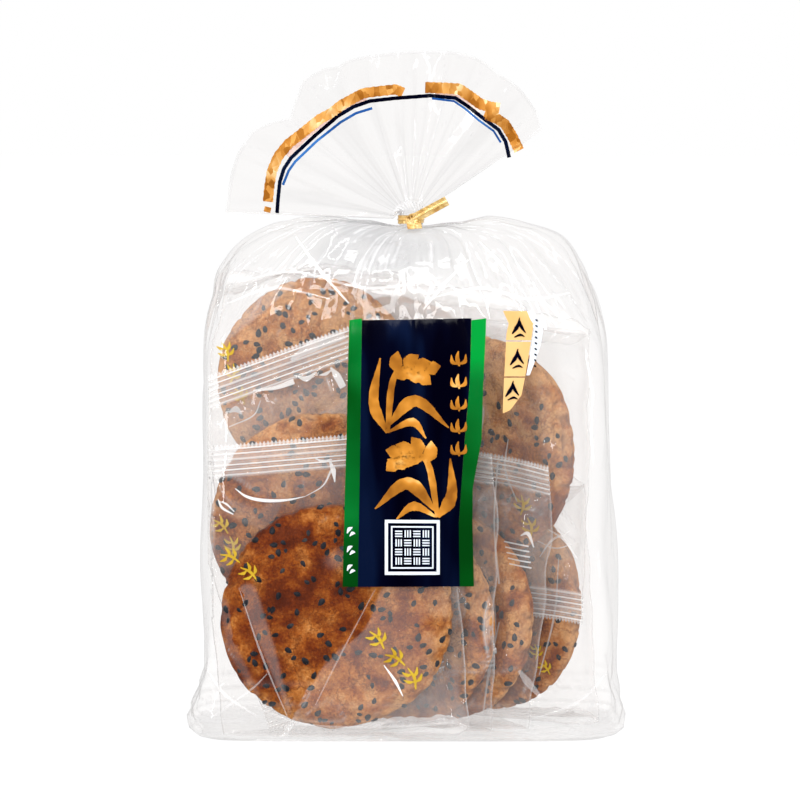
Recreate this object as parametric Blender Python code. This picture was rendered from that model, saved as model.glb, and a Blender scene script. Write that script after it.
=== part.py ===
"""Clear gusseted bag of wrapped rice crackers, standing upright, its neck closed by a gold tie.

The filled bag is one closed solid: a block-shaped body on a flat base, a roof that gathers
to the neck, and the pleated mouth that fans out above the tie.  The tie is a second solid,
a band round the neck with a twisted knot, a long tail and a short one.

Frame: metres, +Z up, front towards -Y, origin under the middle of the base.
"""
import math

import bmesh
import bpy
from mathutils import Matrix, Vector

# Driving sizes of the bag
BODY_HALF_WIDTH = 0.0782
BODY_HALF_DEPTH = 0.0440
FLARE_HALF_WIDTH = 0.0812
FLARE_HALF_DEPTH = 0.0455
BASE_HEIGHT = 0.0220
EAVE_HEIGHT = 0.1440
GUSSET_START = 0.0960
GUSSET_DEPTH = 0.0090
RIDGE_HEIGHT = 0.1928
TIE_HEIGHT = 0.1952
OVERALL_HEIGHT = 0.2610
NECK_RADIUS = 0.0043
NECK_GROOVE = 0.0006
ROOF_PLEATS = 18
ROOF_PLEAT_DEPTH = 0.0012

# The fanned mouth, measured from the middle of the neck
FAN_LEFT_ANGLE = math.radians(172.0)
FAN_RIGHT_ANGLE = math.radians(34.0)
FAN_RADIUS = OVERALL_HEIGHT - TIE_HEIGHT
FAN_ROOT_HALF_THICKNESS = 0.0036
FAN_RIM_HALF_THICKNESS = 0.0020
FAN_PLEATS = 9
FAN_PLEAT_DEPTH = 0.0045

# The tie
BAND_GAP = 0.0004
BAND_THICKNESS = 0.0008
BAND_WIDTH = 0.0038
LONG_TAIL_LENGTH = 0.0165
SHORT_TAIL_LENGTH = 0.0070

# Points round each section of the bag, half of them on the front sheet
RING_POINTS = 72
FINE_STEPS = 720
WALL_RINGS = 7


def clear_scene():
    for item in list(bpy.data.objects):
        bpy.data.objects.remove(item)


def new_collection(name):
    collection = bpy.data.collections.new(name)
    bpy.context.scene.collection.children.link(collection)
    return collection


def plain_material(name, colour, roughness, metallic):
    material = bpy.data.materials.new(name)
    material.use_nodes = True
    shader = material.node_tree.nodes["Principled BSDF"]
    shader.inputs["Base Color"].default_value = (*colour, 1.0)
    shader.inputs["Roughness"].default_value = roughness
    shader.inputs["Metallic"].default_value = metallic
    return material


def signed_power(value, power):
    return math.copysign(abs(value) ** power, value)


def even_section(half_width, half_depth, squareness):
    """Points of a superellipse at even spacing, from the left middle round by the front."""
    fine = []
    for step in range(FINE_STEPS + 1):
        turn = math.pi + math.tau * step / FINE_STEPS
        x = half_width * signed_power(math.cos(turn), 2.0 / squareness)
        y = half_depth * signed_power(math.sin(turn), 2.0 / squareness)
        fine.append(Vector((x, y)))
    lengths = [0.0]
    for before, after in zip(fine, fine[1:]):
        lengths.append(lengths[-1] + (after - before).length)
    points = []
    step = 0
    for index in range(RING_POINTS):
        target = lengths[-1] * index / RING_POINTS
        while lengths[step + 1] < target:
            step += 1
        share = (target - lengths[step]) / (lengths[step + 1] - lengths[step])
        points.append(fine[step].lerp(fine[step + 1], share))
    return points


def body_billow(turn, height):
    """Shallow swells of the film over the stacked crackers, nothing at the base."""
    fade = min(1.0, max(0.0, (height - 0.012) / 0.03))
    tall = 0.0007 * math.sin(3.0 * turn + 46.0 * height)
    wide = 0.0006 * math.sin(5.0 * turn - 71.0 * height + 1.3)
    return fade * (tall + wide)


def gusset_fold(point, half_width, half_depth, height):
    """How far the middle of a side is tucked in, deepest half way up the roof."""
    rise = (height - GUSSET_START) / (RIDGE_HEIGHT - GUSSET_START)
    if rise <= 0.0:
        return 0.0
    tuck = GUSSET_DEPTH * math.sin(math.pi * min(1.0, rise) ** 2.2)
    near_side = min(1.0, max(0.0, (abs(point.x) / half_width - 0.8) / 0.2))
    near_middle = max(0.0, 1.0 - abs(point.y) / (0.85 * half_depth))
    return math.copysign(tuck * near_side * near_middle, point.x)


def base_rings():
    """Height, half width, half depth, squareness and lean of the base and its loose edge."""
    return [
        (0.0000, 0.0752, 0.0420, 7.0, 0.0000),
        (0.0030, 0.0794, 0.0442, 7.0, 0.0000),
        (0.0080, FLARE_HALF_WIDTH, FLARE_HALF_DEPTH, 7.0, 0.0000),
        (0.0140, 0.0802, 0.0449, 7.0, -0.0002),
        (BASE_HEIGHT, BODY_HALF_WIDTH, BODY_HALF_DEPTH, 7.5, -0.0005),
    ]


def wall_rings():
    """Upright walls, a little narrower and leaning to the left towards the eaves."""
    rings = []
    for index in range(1, WALL_RINGS + 1):
        share = index / WALL_RINGS
        height = BASE_HEIGHT + share * (EAVE_HEIGHT - BASE_HEIGHT)
        half_width = BODY_HALF_WIDTH - 0.0018 * share ** 2
        half_depth = BODY_HALF_DEPTH - 0.0020 * share ** 2
        rings.append((height, half_width, half_depth, 7.5, -0.0005 - 0.0016 * share ** 2))
    return rings


def roof_rings():
    """Height, half width, half depth, squareness, lean and shoulder lift up to the neck."""
    return [
        (0.1550, 0.0746, 0.0370, 6.5, -0.0026, 0.0000),
        (0.1665, 0.0720, 0.0300, 6.0, -0.0036, 0.0004),
        (0.1750, 0.0695, 0.0240, 5.2, -0.0042, 0.0010),
        (0.1810, 0.0660, 0.0190, 4.6, -0.0034, 0.0018),
        (0.1860, 0.0605, 0.0145, 4.0, -0.0020, 0.0028),
        (0.1885, 0.0540, 0.0118, 3.2, -0.0018, 0.0036),
        (0.1902, 0.0440, 0.0098, 2.6, -0.0010, 0.0044),
        (0.1912, 0.0300, 0.0080, 2.3, -0.0006, 0.0042),
        (0.1919, 0.0150, 0.0064, 2.0, 0.0000, 0.0020),
    ]


def body_sections():
    """Rings of the base and the walls."""
    rings = []
    for height, half_width, half_depth, squareness, lean in base_rings() + wall_rings():
        ring = []
        for index, point in enumerate(even_section(half_width, half_depth, squareness)):
            turn = math.pi + math.tau * index / RING_POINTS
            swell = 1.0 + body_billow(turn, height) / half_depth
            x = point.x + lean - gusset_fold(point, half_width, half_depth, height)
            ring.append(Vector((x, point.y * swell, height)))
        rings.append(ring)
    return rings


def roof_sections():
    """Rings of the roof, whose pleats run in towards the neck."""
    rings = []
    for height, half_width, half_depth, squareness, lean, lift in roof_rings():
        ring = []
        gather = (height - EAVE_HEIGHT) / (RIDGE_HEIGHT - EAVE_HEIGHT)
        pleat_depth = 4.0 * ROOF_PLEAT_DEPTH * gather * (1.15 - gather)
        for index, point in enumerate(even_section(half_width, half_depth, squareness)):
            turn = math.pi + math.tau * index / RING_POINTS
            pleat = pleat_depth * math.sin(ROOF_PLEATS * turn + 2.0 * math.sin(2.0 * turn))
            outward = 1.0 + (1.0 - gather) * pleat / half_depth
            x = point.x * outward + lean - gusset_fold(point, half_width, half_depth, height)
            shoulder = lift * abs(point.x / half_width) ** 1.5
            z = height + shoulder + 0.35 * gather * pleat
            ring.append(Vector((x, point.y * outward, z)))
        rings.append(ring)
    return rings


def neck_sections():
    """Rings of the tightly gathered neck, from below the tie to above it."""
    rings = []
    for height in (RIDGE_HEIGHT, TIE_HEIGHT + 0.0015, TIE_HEIGHT + 0.0035):
        ring = []
        for index in range(RING_POINTS):
            turn = math.pi + math.tau * index / RING_POINTS
            radius = NECK_RADIUS - NECK_GROOVE * (1.0 + math.cos(FAN_PLEATS * turn)) / 2.0
            ring.append(Vector((radius * math.cos(turn), radius * math.sin(turn), height)))
        rings.append(ring)
    return rings


def fan_point(radius, share, side):
    """A point of the mouth: share runs 0 to 1 from left to right, side is -1 in front."""
    angle = FAN_LEFT_ANGLE + share * (FAN_RIGHT_ANGLE - FAN_LEFT_ANGLE)
    spread = radius / FAN_RADIUS
    thickness = FAN_ROOT_HALF_THICKNESS
    thickness += spread * (FAN_RIM_HALF_THICKNESS - FAN_ROOT_HALF_THICKNESS)
    edge = math.sin(math.pi * min(1.0, max(0.0, share))) ** 0.25
    wave = math.sin(math.tau * FAN_PLEATS * share + 1.1 * math.sin(math.tau * share))
    wave *= 0.75 + 0.25 * math.sin(math.tau * 2.3 * share + 1.0)
    pleat = FAN_PLEAT_DEPTH * math.sqrt(spread) * wave
    uneven = 1.0 - 0.022 * (1.0 - math.cos(math.tau * 1.5 * share)) * spread
    x = radius * uneven * math.cos(angle)
    y = side * thickness * edge + pleat
    z = TIE_HEIGHT + radius * uneven * math.sin(angle)
    return Vector((x, y, z))


def fan_sections():
    """Rings of the mouth, growing from the neck to the open rim."""
    rings = []
    half = RING_POINTS // 2
    for radius in (0.0075, 0.0115, 0.0180, 0.0270, 0.0370, 0.0470, 0.0565, FAN_RADIUS):
        ring = []
        for index in range(RING_POINTS):
            if index <= half:
                ring.append(fan_point(radius, index / half, -1.0))
            else:
                ring.append(fan_point(radius, (RING_POINTS - index) / half, 1.0))
        rings.append(ring)
    return rings


def loft(mesh_builder, rings):
    """Skin of quads between neighbouring rings; returns the rings' vertices."""
    skins = [[mesh_builder.verts.new(point) for point in ring] for ring in rings]
    for lower, upper in zip(skins, skins[1:]):
        for index in range(RING_POINTS):
            after = (index + 1) % RING_POINTS
            mesh_builder.faces.new((lower[index], lower[after], upper[after], upper[index]))
    return skins


def close_rim(mesh_builder, ring):
    """Ladder of faces that joins the front sheet to the back one along the rim."""
    half = RING_POINTS // 2
    for index in range(half):
        front = ring[index]
        front_after = ring[index + 1]
        back = ring[-index % RING_POINTS]
        back_after = ring[(-index - 1) % RING_POINTS]
        corners = []
        for corner in (front, front_after, back_after, back):
            if corner not in corners:
                corners.append(corner)
        mesh_builder.faces.new(corners)


def make_bag(collection):
    builder = bmesh.new()
    skins = loft(builder, body_sections() + roof_sections() + neck_sections() + fan_sections())
    builder.faces.new(list(reversed(skins[0])))
    close_rim(builder, skins[-1])
    bmesh.ops.recalc_face_normals(builder, faces=builder.faces)
    bmesh.ops.triangulate(builder, faces=builder.faces)
    mesh = bpy.data.meshes.new("bag")
    builder.to_mesh(mesh)
    builder.free()
    bag = bpy.data.objects.new("bag", mesh)
    collection.objects.link(bag)
    mesh.shade_smooth()
    mesh.set_sharp_from_angle(angle=math.radians(50.0))
    mesh.materials.append(plain_material("clear_film", (0.86, 0.87, 0.86), 0.12, 0.0))
    return bag


def band_solid(name, outer_radius, inner_radius, width):
    """Short tube round the neck, made by turning its rectangular wall section."""
    builder = bmesh.new()
    low = TIE_HEIGHT - width / 2.0
    high = TIE_HEIGHT + width / 2.0
    profile = [(inner_radius, low), (outer_radius, low), (outer_radius, high), (inner_radius, high)]
    corners = [builder.verts.new((radius, 0.0, z)) for radius, z in profile]
    edges = [builder.edges.new((corners[i], corners[(i + 1) % 4])) for i in range(4)]
    bmesh.ops.spin(
        builder,
        geom=corners + edges,
        cent=(0.0, 0.0, 0.0),
        axis=(0.0, 0.0, 1.0),
        angle=math.tau,
        steps=40,
        use_merge=True,
    )
    bmesh.ops.recalc_face_normals(builder, faces=builder.faces)
    mesh = bpy.data.meshes.new(name)
    builder.to_mesh(mesh)
    builder.free()
    return bpy.data.objects.new(name, mesh)


def strip_solid(name, length, width, thickness, turns, start, direction, face):
    """Flat strip that runs from start along direction, twisting by turns on the way."""
    along = direction.normalized()
    across = face.cross(along).normalized()
    normal = along.cross(across)
    steps = 14
    builder = bmesh.new()
    rings = []
    for step in range(steps + 1):
        share = step / steps
        twist = Matrix.Rotation(math.tau * turns * share, 3, along)
        side = twist @ across * (width / 2.0)
        up = twist @ normal * (thickness / 2.0)
        middle = start + along * (length * share)
        corners = (side + up, up - side, -side - up, side - up)
        rings.append([builder.verts.new(middle + corner) for corner in corners])
    for lower, upper in zip(rings, rings[1:]):
        for index in range(4):
            after = (index + 1) % 4
            builder.faces.new((lower[index], lower[after], upper[after], upper[index]))
    builder.faces.new(rings[0])
    builder.faces.new(rings[-1])
    bmesh.ops.recalc_face_normals(builder, faces=builder.faces)
    mesh = bpy.data.meshes.new(name)
    builder.to_mesh(mesh)
    builder.free()
    return bpy.data.objects.new(name, mesh)


def make_tie(collection, helpers):
    inner_radius = NECK_RADIUS + BAND_GAP
    outer_radius = inner_radius + BAND_THICKNESS
    tie = band_solid("tie", outer_radius, inner_radius, BAND_WIDTH)
    collection.objects.link(tie)
    knot_start = Vector((-0.0012, -outer_radius + 0.0003, TIE_HEIGHT))
    knot_end = Vector((0.0022, -outer_radius - 0.0028, TIE_HEIGHT + 0.0004))
    knot_run = knot_end - knot_start
    front = Vector((0.0, -1.0, 0.0))
    up = Vector((0.0, 0.0, 1.0))
    pieces = [
        strip_solid("knot", knot_run.length + 0.0006, 0.0032, 0.0016, 0.75, knot_start, knot_run, up),
        strip_solid(
            "long_tail", LONG_TAIL_LENGTH, BAND_WIDTH, BAND_THICKNESS, 0.04,
            knot_end + Vector((-0.0008, 0.0006, 0.0)), Vector((0.86, -0.10, 0.50)), front,
        ),
        strip_solid(
            "short_tail", SHORT_TAIL_LENGTH, BAND_WIDTH, BAND_THICKNESS, -0.06,
            knot_end + Vector((-0.0008, 0.0008, 0.0)), Vector((0.52, -0.66, -0.26)), front,
        ),
    ]
    for piece in pieces:
        helpers.objects.link(piece)
        piece.hide_render = True
        piece.display_type = "WIRE"
        union = tie.modifiers.new(piece.name, "BOOLEAN")
        union.operation = "UNION"
        union.solver = "EXACT"
        union.object = piece
    tie.data.materials.append(plain_material("gold_foil", (0.83, 0.58, 0.20), 0.25, 1.0))
    return tie


def main():
    clear_scene()
    parts = new_collection("cracker_bag")
    helpers = new_collection("joined_shapes")
    make_bag(parts)
    make_tie(parts, helpers)


main()
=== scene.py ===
# %% [markdown]
# # A clear bag of wrapped sesame rice crackers
# A tall gusseted bag of clear film stands on a table. Its neck is gathered and closed by a
# gold twist tie, and above the tie the mouth fans out. Inside are eight thick toasted
# crackers full of black sesame, each in a wrapper of its own with ridged crimped ends.
# The model of plain solids is loaded first. Everything here is built around it, in metres,
# with +Z up and the front of the bag towards -Y.

# %% Load the solid model
import math
import random

import bpy
import numpy as np
from mathutils import Matrix, Vector, noise
from mathutils.bvhtree import BVHTree


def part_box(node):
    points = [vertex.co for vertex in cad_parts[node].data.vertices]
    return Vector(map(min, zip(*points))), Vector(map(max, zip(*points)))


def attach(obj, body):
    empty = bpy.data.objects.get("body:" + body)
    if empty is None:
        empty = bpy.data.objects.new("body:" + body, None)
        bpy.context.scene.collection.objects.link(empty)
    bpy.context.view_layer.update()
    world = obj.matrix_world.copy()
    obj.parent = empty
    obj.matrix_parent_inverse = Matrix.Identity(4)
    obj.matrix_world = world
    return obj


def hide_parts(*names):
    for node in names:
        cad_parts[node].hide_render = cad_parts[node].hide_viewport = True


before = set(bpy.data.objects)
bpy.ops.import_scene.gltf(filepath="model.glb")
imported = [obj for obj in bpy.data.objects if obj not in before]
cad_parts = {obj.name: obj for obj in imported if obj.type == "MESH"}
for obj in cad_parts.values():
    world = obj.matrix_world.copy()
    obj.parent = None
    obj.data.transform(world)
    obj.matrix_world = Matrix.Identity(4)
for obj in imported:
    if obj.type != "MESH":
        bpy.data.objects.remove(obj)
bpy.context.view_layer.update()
bag_low, bag_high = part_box("bag")
tie_low, tie_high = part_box("tie")

# %% [markdown]
# ## Working by hand, in code
# Blender's operators act on whatever is selected, so each step first selects one piece and
# nothing else. A film or a print starts as a plane grid from the Add menu. Its points are
# then moved in code, because a pleated bag follows a rule that no single tool draws. The
# grid keeps tidy rows and columns, which makes folds easy to place.


# %% Helpers for pieces
def deselect_all():
    """Nothing selected, and out of edit mode."""
    if bpy.context.object and bpy.context.object.mode != "OBJECT":
        bpy.ops.object.mode_set(mode="OBJECT")
    bpy.ops.object.select_all(action="DESELECT")


def select_only(piece):
    deselect_all()
    piece.select_set(True)
    bpy.context.view_layer.objects.active = piece


def name_piece(piece, name):
    piece.name = name
    piece.data.name = name
    return piece


def points_of(piece):
    """The mesh's points as an array of rows x, y, z."""
    flat = np.empty(len(piece.data.vertices) * 3, dtype=np.float32)
    piece.data.vertices.foreach_get("co", flat)
    return flat.reshape(-1, 3).astype(float)


def move_points(piece, points):
    piece.data.vertices.foreach_set("co", np.asarray(points, dtype=np.float32).ravel())
    piece.data.update()


def store_value(piece, name, values):
    """One number for each point, which a material can read."""
    layer = piece.data.attributes.new(name, "FLOAT", "POINT")
    layer.data.foreach_set("value", np.asarray(values, dtype=np.float32))


def merge_close_points(piece, distance=0.00002):
    select_only(piece)
    bpy.ops.object.mode_set(mode="EDIT")
    bpy.ops.mesh.select_all(action="SELECT")
    bpy.ops.mesh.remove_doubles(threshold=distance)
    bpy.ops.object.mode_set(mode="OBJECT")


def shade_smooth(piece, sharp_degrees=180.0):
    select_only(piece)
    bpy.ops.object.shade_smooth_by_angle(angle=math.radians(sharp_degrees))


def shaped_grid(name, columns, rows, shape):
    """A plane grid whose points are moved to shape(u, v), with u and v from 0 to 1."""
    deselect_all()
    bpy.ops.mesh.primitive_grid_add(x_subdivisions=columns, y_subdivisions=rows, size=2.0)
    piece = name_piece(bpy.context.object, name)
    flat = points_of(piece)
    move_points(piece, shape((flat[:, 0] + 1.0) / 2.0, (flat[:, 1] + 1.0) / 2.0))
    return piece


def join_pieces(name, pieces):
    deselect_all()
    for piece in pieces:
        piece.select_set(True)
    bpy.context.view_layer.objects.active = pieces[0]
    if len(pieces) > 1:
        bpy.ops.object.join()
    return name_piece(bpy.context.object, name)


# %% [markdown]
# ## Folds from smooth noise
# Thin film never lies flat. Where smooth noise changes sign, its absolute value has a sharp
# valley, and that valley looks like a crease between two slack domes. One helper gives the
# smooth noise and another turns it into creases.


# %% Noise helpers
def noise_at(points, lump, seed=0.0):
    """Smooth noise from about -1 to 1; lump is the size of its swells in metres."""
    shift = Vector((7.13 * seed, 3.31 * seed, 5.77 * seed))
    scale = 1.0 / lump
    return np.array([noise.noise(Vector(point) * scale + shift) for point in points])


def creases(points, lump, seed=0.0):
    """0 along thin crease lines, rising to about 1 on the slack film between them."""
    return np.clip(np.abs(noise_at(points, lump, seed)) * 2.0, 0.0, 1.0)


def smooth_step(values, low, high):
    share = np.clip((values - low) / (high - low), 0.0, 1.0)
    return share * share * (3.0 - 2.0 * share)


# %% [markdown]
# ## Camera, floor and light
# The bag stands on a plain white table in an even white studio. The camera is far away with
# a long lens, a little above the middle of the bag. The floor is a very wide plane, bright
# enough to melt into the background. Clear film shows only by what it mirrors, so the world
# is white where the camera looks and darker for reflections, which turns steep folds grey.

# %% Camera
CAMERA_DISTANCE = 1.5
CAMERA_ELEVATION = math.radians(4.0)
CAMERA_AIM = Vector((-0.0042, 0.0, 0.1258))
CAMERA_LENS = 175.5

camera_back = Vector((0.0, -math.cos(CAMERA_ELEVATION), math.sin(CAMERA_ELEVATION)))
camera_data = bpy.data.cameras.new("camera")
camera_data.lens = CAMERA_LENS
camera_data.sensor_width = 36.0
camera_data.clip_end = 100.0
camera = bpy.data.objects.new("camera", camera_data)
camera.location = CAMERA_AIM + camera_back * CAMERA_DISTANCE
camera.rotation_euler = (-camera_back).to_track_quat("-Z", "Y").to_euler()
bpy.context.scene.collection.objects.link(camera)
bpy.context.scene.camera = camera

scene = bpy.context.scene
scene.view_settings.view_transform = "Standard"
scene.cycles.transparent_max_bounces = 48
print("camera at", [round(c, 3) for c in camera.location])


# %% Node helpers
def new_material(name):
    """A material with only its output node, and short ways to add and link nodes."""
    material = bpy.data.materials.new(name)
    material.use_nodes = True
    tree = material.node_tree
    tree.nodes.clear()
    return material, tree


def add_node(tree, kind, settings=None, **inputs):
    """A node with its settings and inputs; an input given as a socket is linked."""
    item = tree.nodes.new(kind)
    for key, value in (settings or {}).items():
        setattr(item, key, value)
    for key, value in inputs.items():
        socket = item.inputs[int(key[1:])] if key[0] == "i" and key[1:].isdigit() else item.inputs[key.replace("_", " ")]
        if isinstance(value, bpy.types.NodeSocket):
            tree.links.new(value, socket)
        elif isinstance(value, tuple) and len(value) == 3 and socket.type == "RGBA":
            socket.default_value = (*value, 1.0)
        else:
            socket.default_value = value
    return item


def math_node(tree, operation, first, second=0.0, clamp=False):
    return add_node(tree, "ShaderNodeMath", {"operation": operation, "use_clamp": clamp}, i0=first, i1=second).outputs[0]


def noise_node(tree, coords, scale, detail=2.0, roughness=0.5):
    item = add_node(tree, "ShaderNodeTexNoise", Vector=coords, Scale=scale, Detail=detail, Roughness=roughness)
    return item.outputs["Fac"]


def colour_ramp(tree, factor, stops):
    """A colour ramp with the given (place, colour) stops."""
    item = add_node(tree, "ShaderNodeValToRGB", Fac=factor)
    ramp = item.color_ramp
    while len(ramp.elements) < len(stops):
        ramp.elements.new(0.5)
    for element, (place, colour) in zip(ramp.elements, stops):
        element.position = place
        element.color = (*colour, 1.0)
    return item.outputs["Color"]


def mix_colour(tree, factor, first, second, blend="MIX"):
    item = tree.nodes.new("ShaderNodeMix")
    item.data_type = "RGBA"
    item.blend_type = blend
    for socket, value in ((item.inputs[0], factor), (item.inputs[6], first), (item.inputs[7], second)):
        if isinstance(value, bpy.types.NodeSocket):
            tree.links.new(value, socket)
        elif isinstance(value, tuple):
            socket.default_value = (*value, 1.0)
        else:
            socket.default_value = value
    return item.outputs[2]


def finish_material(tree, shader):
    output = add_node(tree, "ShaderNodeOutputMaterial")
    tree.links.new(shader, output.inputs["Surface"])


# %% Floor
FLOOR_SIZE = 60.0

deselect_all()
bpy.ops.mesh.primitive_plane_add(size=FLOOR_SIZE, location=(0.0, 0.0, -0.0002))
floor = name_piece(bpy.context.object, "floor")
floor_paint, tree = new_material("floor_paint")
floor_diffuse = add_node(tree, "ShaderNodeBsdfDiffuse", Color=(0.06, 0.06, 0.06))
floor_glow = add_node(tree, "ShaderNodeEmission", Color=(1.0, 1.0, 1.0), Strength=0.962)
floor_sum = add_node(tree, "ShaderNodeAddShader", i0=floor_diffuse.outputs[0], i1=floor_glow.outputs[0])
finish_material(tree, floor_sum.outputs[0])
floor.data.materials.append(floor_paint)
floor.visible_glossy = False

# %% World
WORLD_LEFT = 0.50
WORLD_RIGHT = 1.00
WORLD_TOP = 0.95
WORLD_BEHIND_CAMERA = 0.05

world = bpy.data.worlds.new("studio")
scene.world = world
world.use_nodes = True
tree = world.node_tree
tree.nodes.clear()
direction = add_node(tree, "ShaderNodeTexCoord").outputs["Generated"]
parts = add_node(tree, "ShaderNodeSeparateXYZ", i0=direction)
towards_camera = math_node(tree, "MULTIPLY", parts.outputs["Y"], -1.0)
camera_share = math_node(tree, "SMOOTH_MIN", math_node(tree, "MAXIMUM", towards_camera, 0.0), 1.0)
upward = math_node(tree, "MAXIMUM", parts.outputs["Z"], 0.0)
to_right = math_node(tree, "ADD", math_node(tree, "MULTIPLY", parts.outputs["X"], 0.5), 0.5)
wall = mix_colour(tree, to_right, (WORLD_LEFT,) * 3, (WORLD_RIGHT,) * 3)
wall = mix_colour(tree, upward, wall, (WORLD_TOP,) * 3)
wall = mix_colour(tree, camera_share, wall, (WORLD_BEHIND_CAMERA,) * 3)
seen = add_node(tree, "ShaderNodeLightPath").outputs["Is Camera Ray"]
sky = mix_colour(tree, seen, wall, (1.0, 1.0, 1.0))
background = add_node(tree, "ShaderNodeBackground", Color=sky, Strength=1.0)
world_output = add_node(tree, "ShaderNodeOutputWorld")
tree.links.new(background.outputs[0], world_output.inputs["Surface"])


# %% Softboxes
def softbox(name, place, target, width, height, power):
    """A rectangular area light at place, turned to face target."""
    data = bpy.data.lights.new(name, "AREA")
    data.shape = "RECTANGLE"
    data.size = width
    data.size_y = height
    data.energy = power
    lamp = bpy.data.objects.new(name, data)
    lamp.location = place
    lamp.rotation_euler = (Vector(target) - Vector(place)).to_track_quat("-Z", "Y").to_euler()
    scene.collection.objects.link(lamp)
    return lamp


BAG_MIDDLE = (0.0, 0.0, 0.11)
softbox("left_box", (-1.05, -0.95, 0.62), BAG_MIDDLE, 0.12, 0.95, 9.0)
softbox("right_box", (1.15, -0.80, 0.50), BAG_MIDDLE, 0.12, 0.90, 6.5)
softbox("top_box", (0.0, -0.45, 1.25), BAG_MIDDLE, 1.0, 0.16, 10.0)
fill = softbox("front_fill", (-0.25, -2.2, 0.55), BAG_MIDDLE, 1.2, 0.9, 26.0)
fill.visible_glossy = False

# %% [markdown]
# ## The crackers
# A thick rice cracker is a puffed disc: nearly flat faces, a swollen ring just inside a
# round rim, blisters where steam lifted the dough, and cracks that run across the rim. It
# starts as a sphere from the Add menu. Its rings of points are first moved onto the profile
# of a disc, spaced evenly so that the faces get as much detail as the rim. Then noise moves
# them along the thickness. No two crackers are alike, so each one gets its own seed.

# %% Sizes and places of the eight crackers
CRACKER_SEGMENTS = 176
CRACKER_RINGS = 88
FACE_SQUARENESS = 5.0
RIM_SQUARENESS = 2.4

# name, middle in mm, half width and half height in mm, half thickness in mm,
# turn about the upright axis and backward lean in degrees, how much more it is toasted, partly
# its own toast and partly painted light as the high crackers are made paler as if lit from
# above, the direction of its paler side in degrees and how much paler that is, partly uneven
# toast and partly painted shade
CRACKERS = [
    ("front", (-28.0, -36.2, 46.8), (44.2, 42.6), 4.9, 0.0, 0.0, 0.03, -37.0, 0.24),
    ("middle_left", (-32.9, -23.2, 80.0), (43.6, 43.0), 5.1, 0.0, 2.0, -0.03, 70.0, 0.34),
    ("top_left", (-36.5, 1.0, 133.0), (38.0, 40.0), 5.2, 4.0, 5.0, -0.46, 35.0, 0.24),
    ("top_back", (-7.0, 32.2, 122.5), (41.5, 42.0), 5.0, 0.0, -7.0, -0.25, 90.0, 0.24),
    ("top_right", (26.5, 0.8, 108.0), (43.0, 43.0), 5.4, -35.0, -2.5, -0.44, 118.0, 0.60),
    ("low_right", (30.4, 14.5, 46.5), (42.0, 42.5), 5.4, -34.0, 0.0, -0.16, 90.0, 0.24),
    ("low_middle", (11.6, -1.0, 43.2), (41.5, 41.5), 5.2, -34.0, 0.0, -0.02, 0.0, 0.20),
    ("low_hidden", (-2.3, -6.7, 41.6), (40.5, 40.0), 5.1, -34.0, 0.0, 0.0, 0.0, 0.20),
]
MM = 0.001


def standing_place(middle, turn, lean, spin=0.0):
    """From a disc lying on its back, face up, to its place in the bag, face to the front."""
    place = Matrix.Translation(Vector(middle) * MM)
    place = place @ Matrix.Rotation(math.radians(turn), 4, "Z")
    place = place @ Matrix.Rotation(math.radians(-lean), 4, "X")
    place = place @ Matrix.Rotation(math.radians(90.0), 4, "X")
    return place @ Matrix.Rotation(math.radians(spin), 4, "Z")


def disc_profile(shares, radius, half_thickness):
    """Distance from the middle and height, from the top's middle over the rim to the bottom."""
    turn = np.linspace(0.0, math.pi, 721)
    out = radius * np.sin(turn) ** (2.0 / FACE_SQUARENESS)
    up = half_thickness * np.sign(np.cos(turn)) * np.abs(np.cos(turn)) ** (2.0 / RIM_SQUARENESS)
    steps = np.hypot(np.diff(out), np.diff(up))
    travelled = np.concatenate(([0.0], np.cumsum(steps)))
    travelled /= travelled[-1]
    return np.interp(shares, travelled, out), np.interp(shares, travelled, up)


def cover_height(distance_share, half_thickness):
    """Height of the cracker's face at a share of its radius, for what lies on it."""
    inside = np.clip(1.0 - distance_share ** FACE_SQUARENESS, 0.0, 1.0)
    return half_thickness * inside ** (1.0 / RIM_SQUARENESS)


# %% One cracker
RIM_SWELL = 0.0006
FACE_WARP = 0.0008
BLISTER = 0.0006
WRINKLE = 0.00030
RIM_CRACK = 0.0009
RIM_WRINKLE = 0.00045


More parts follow.
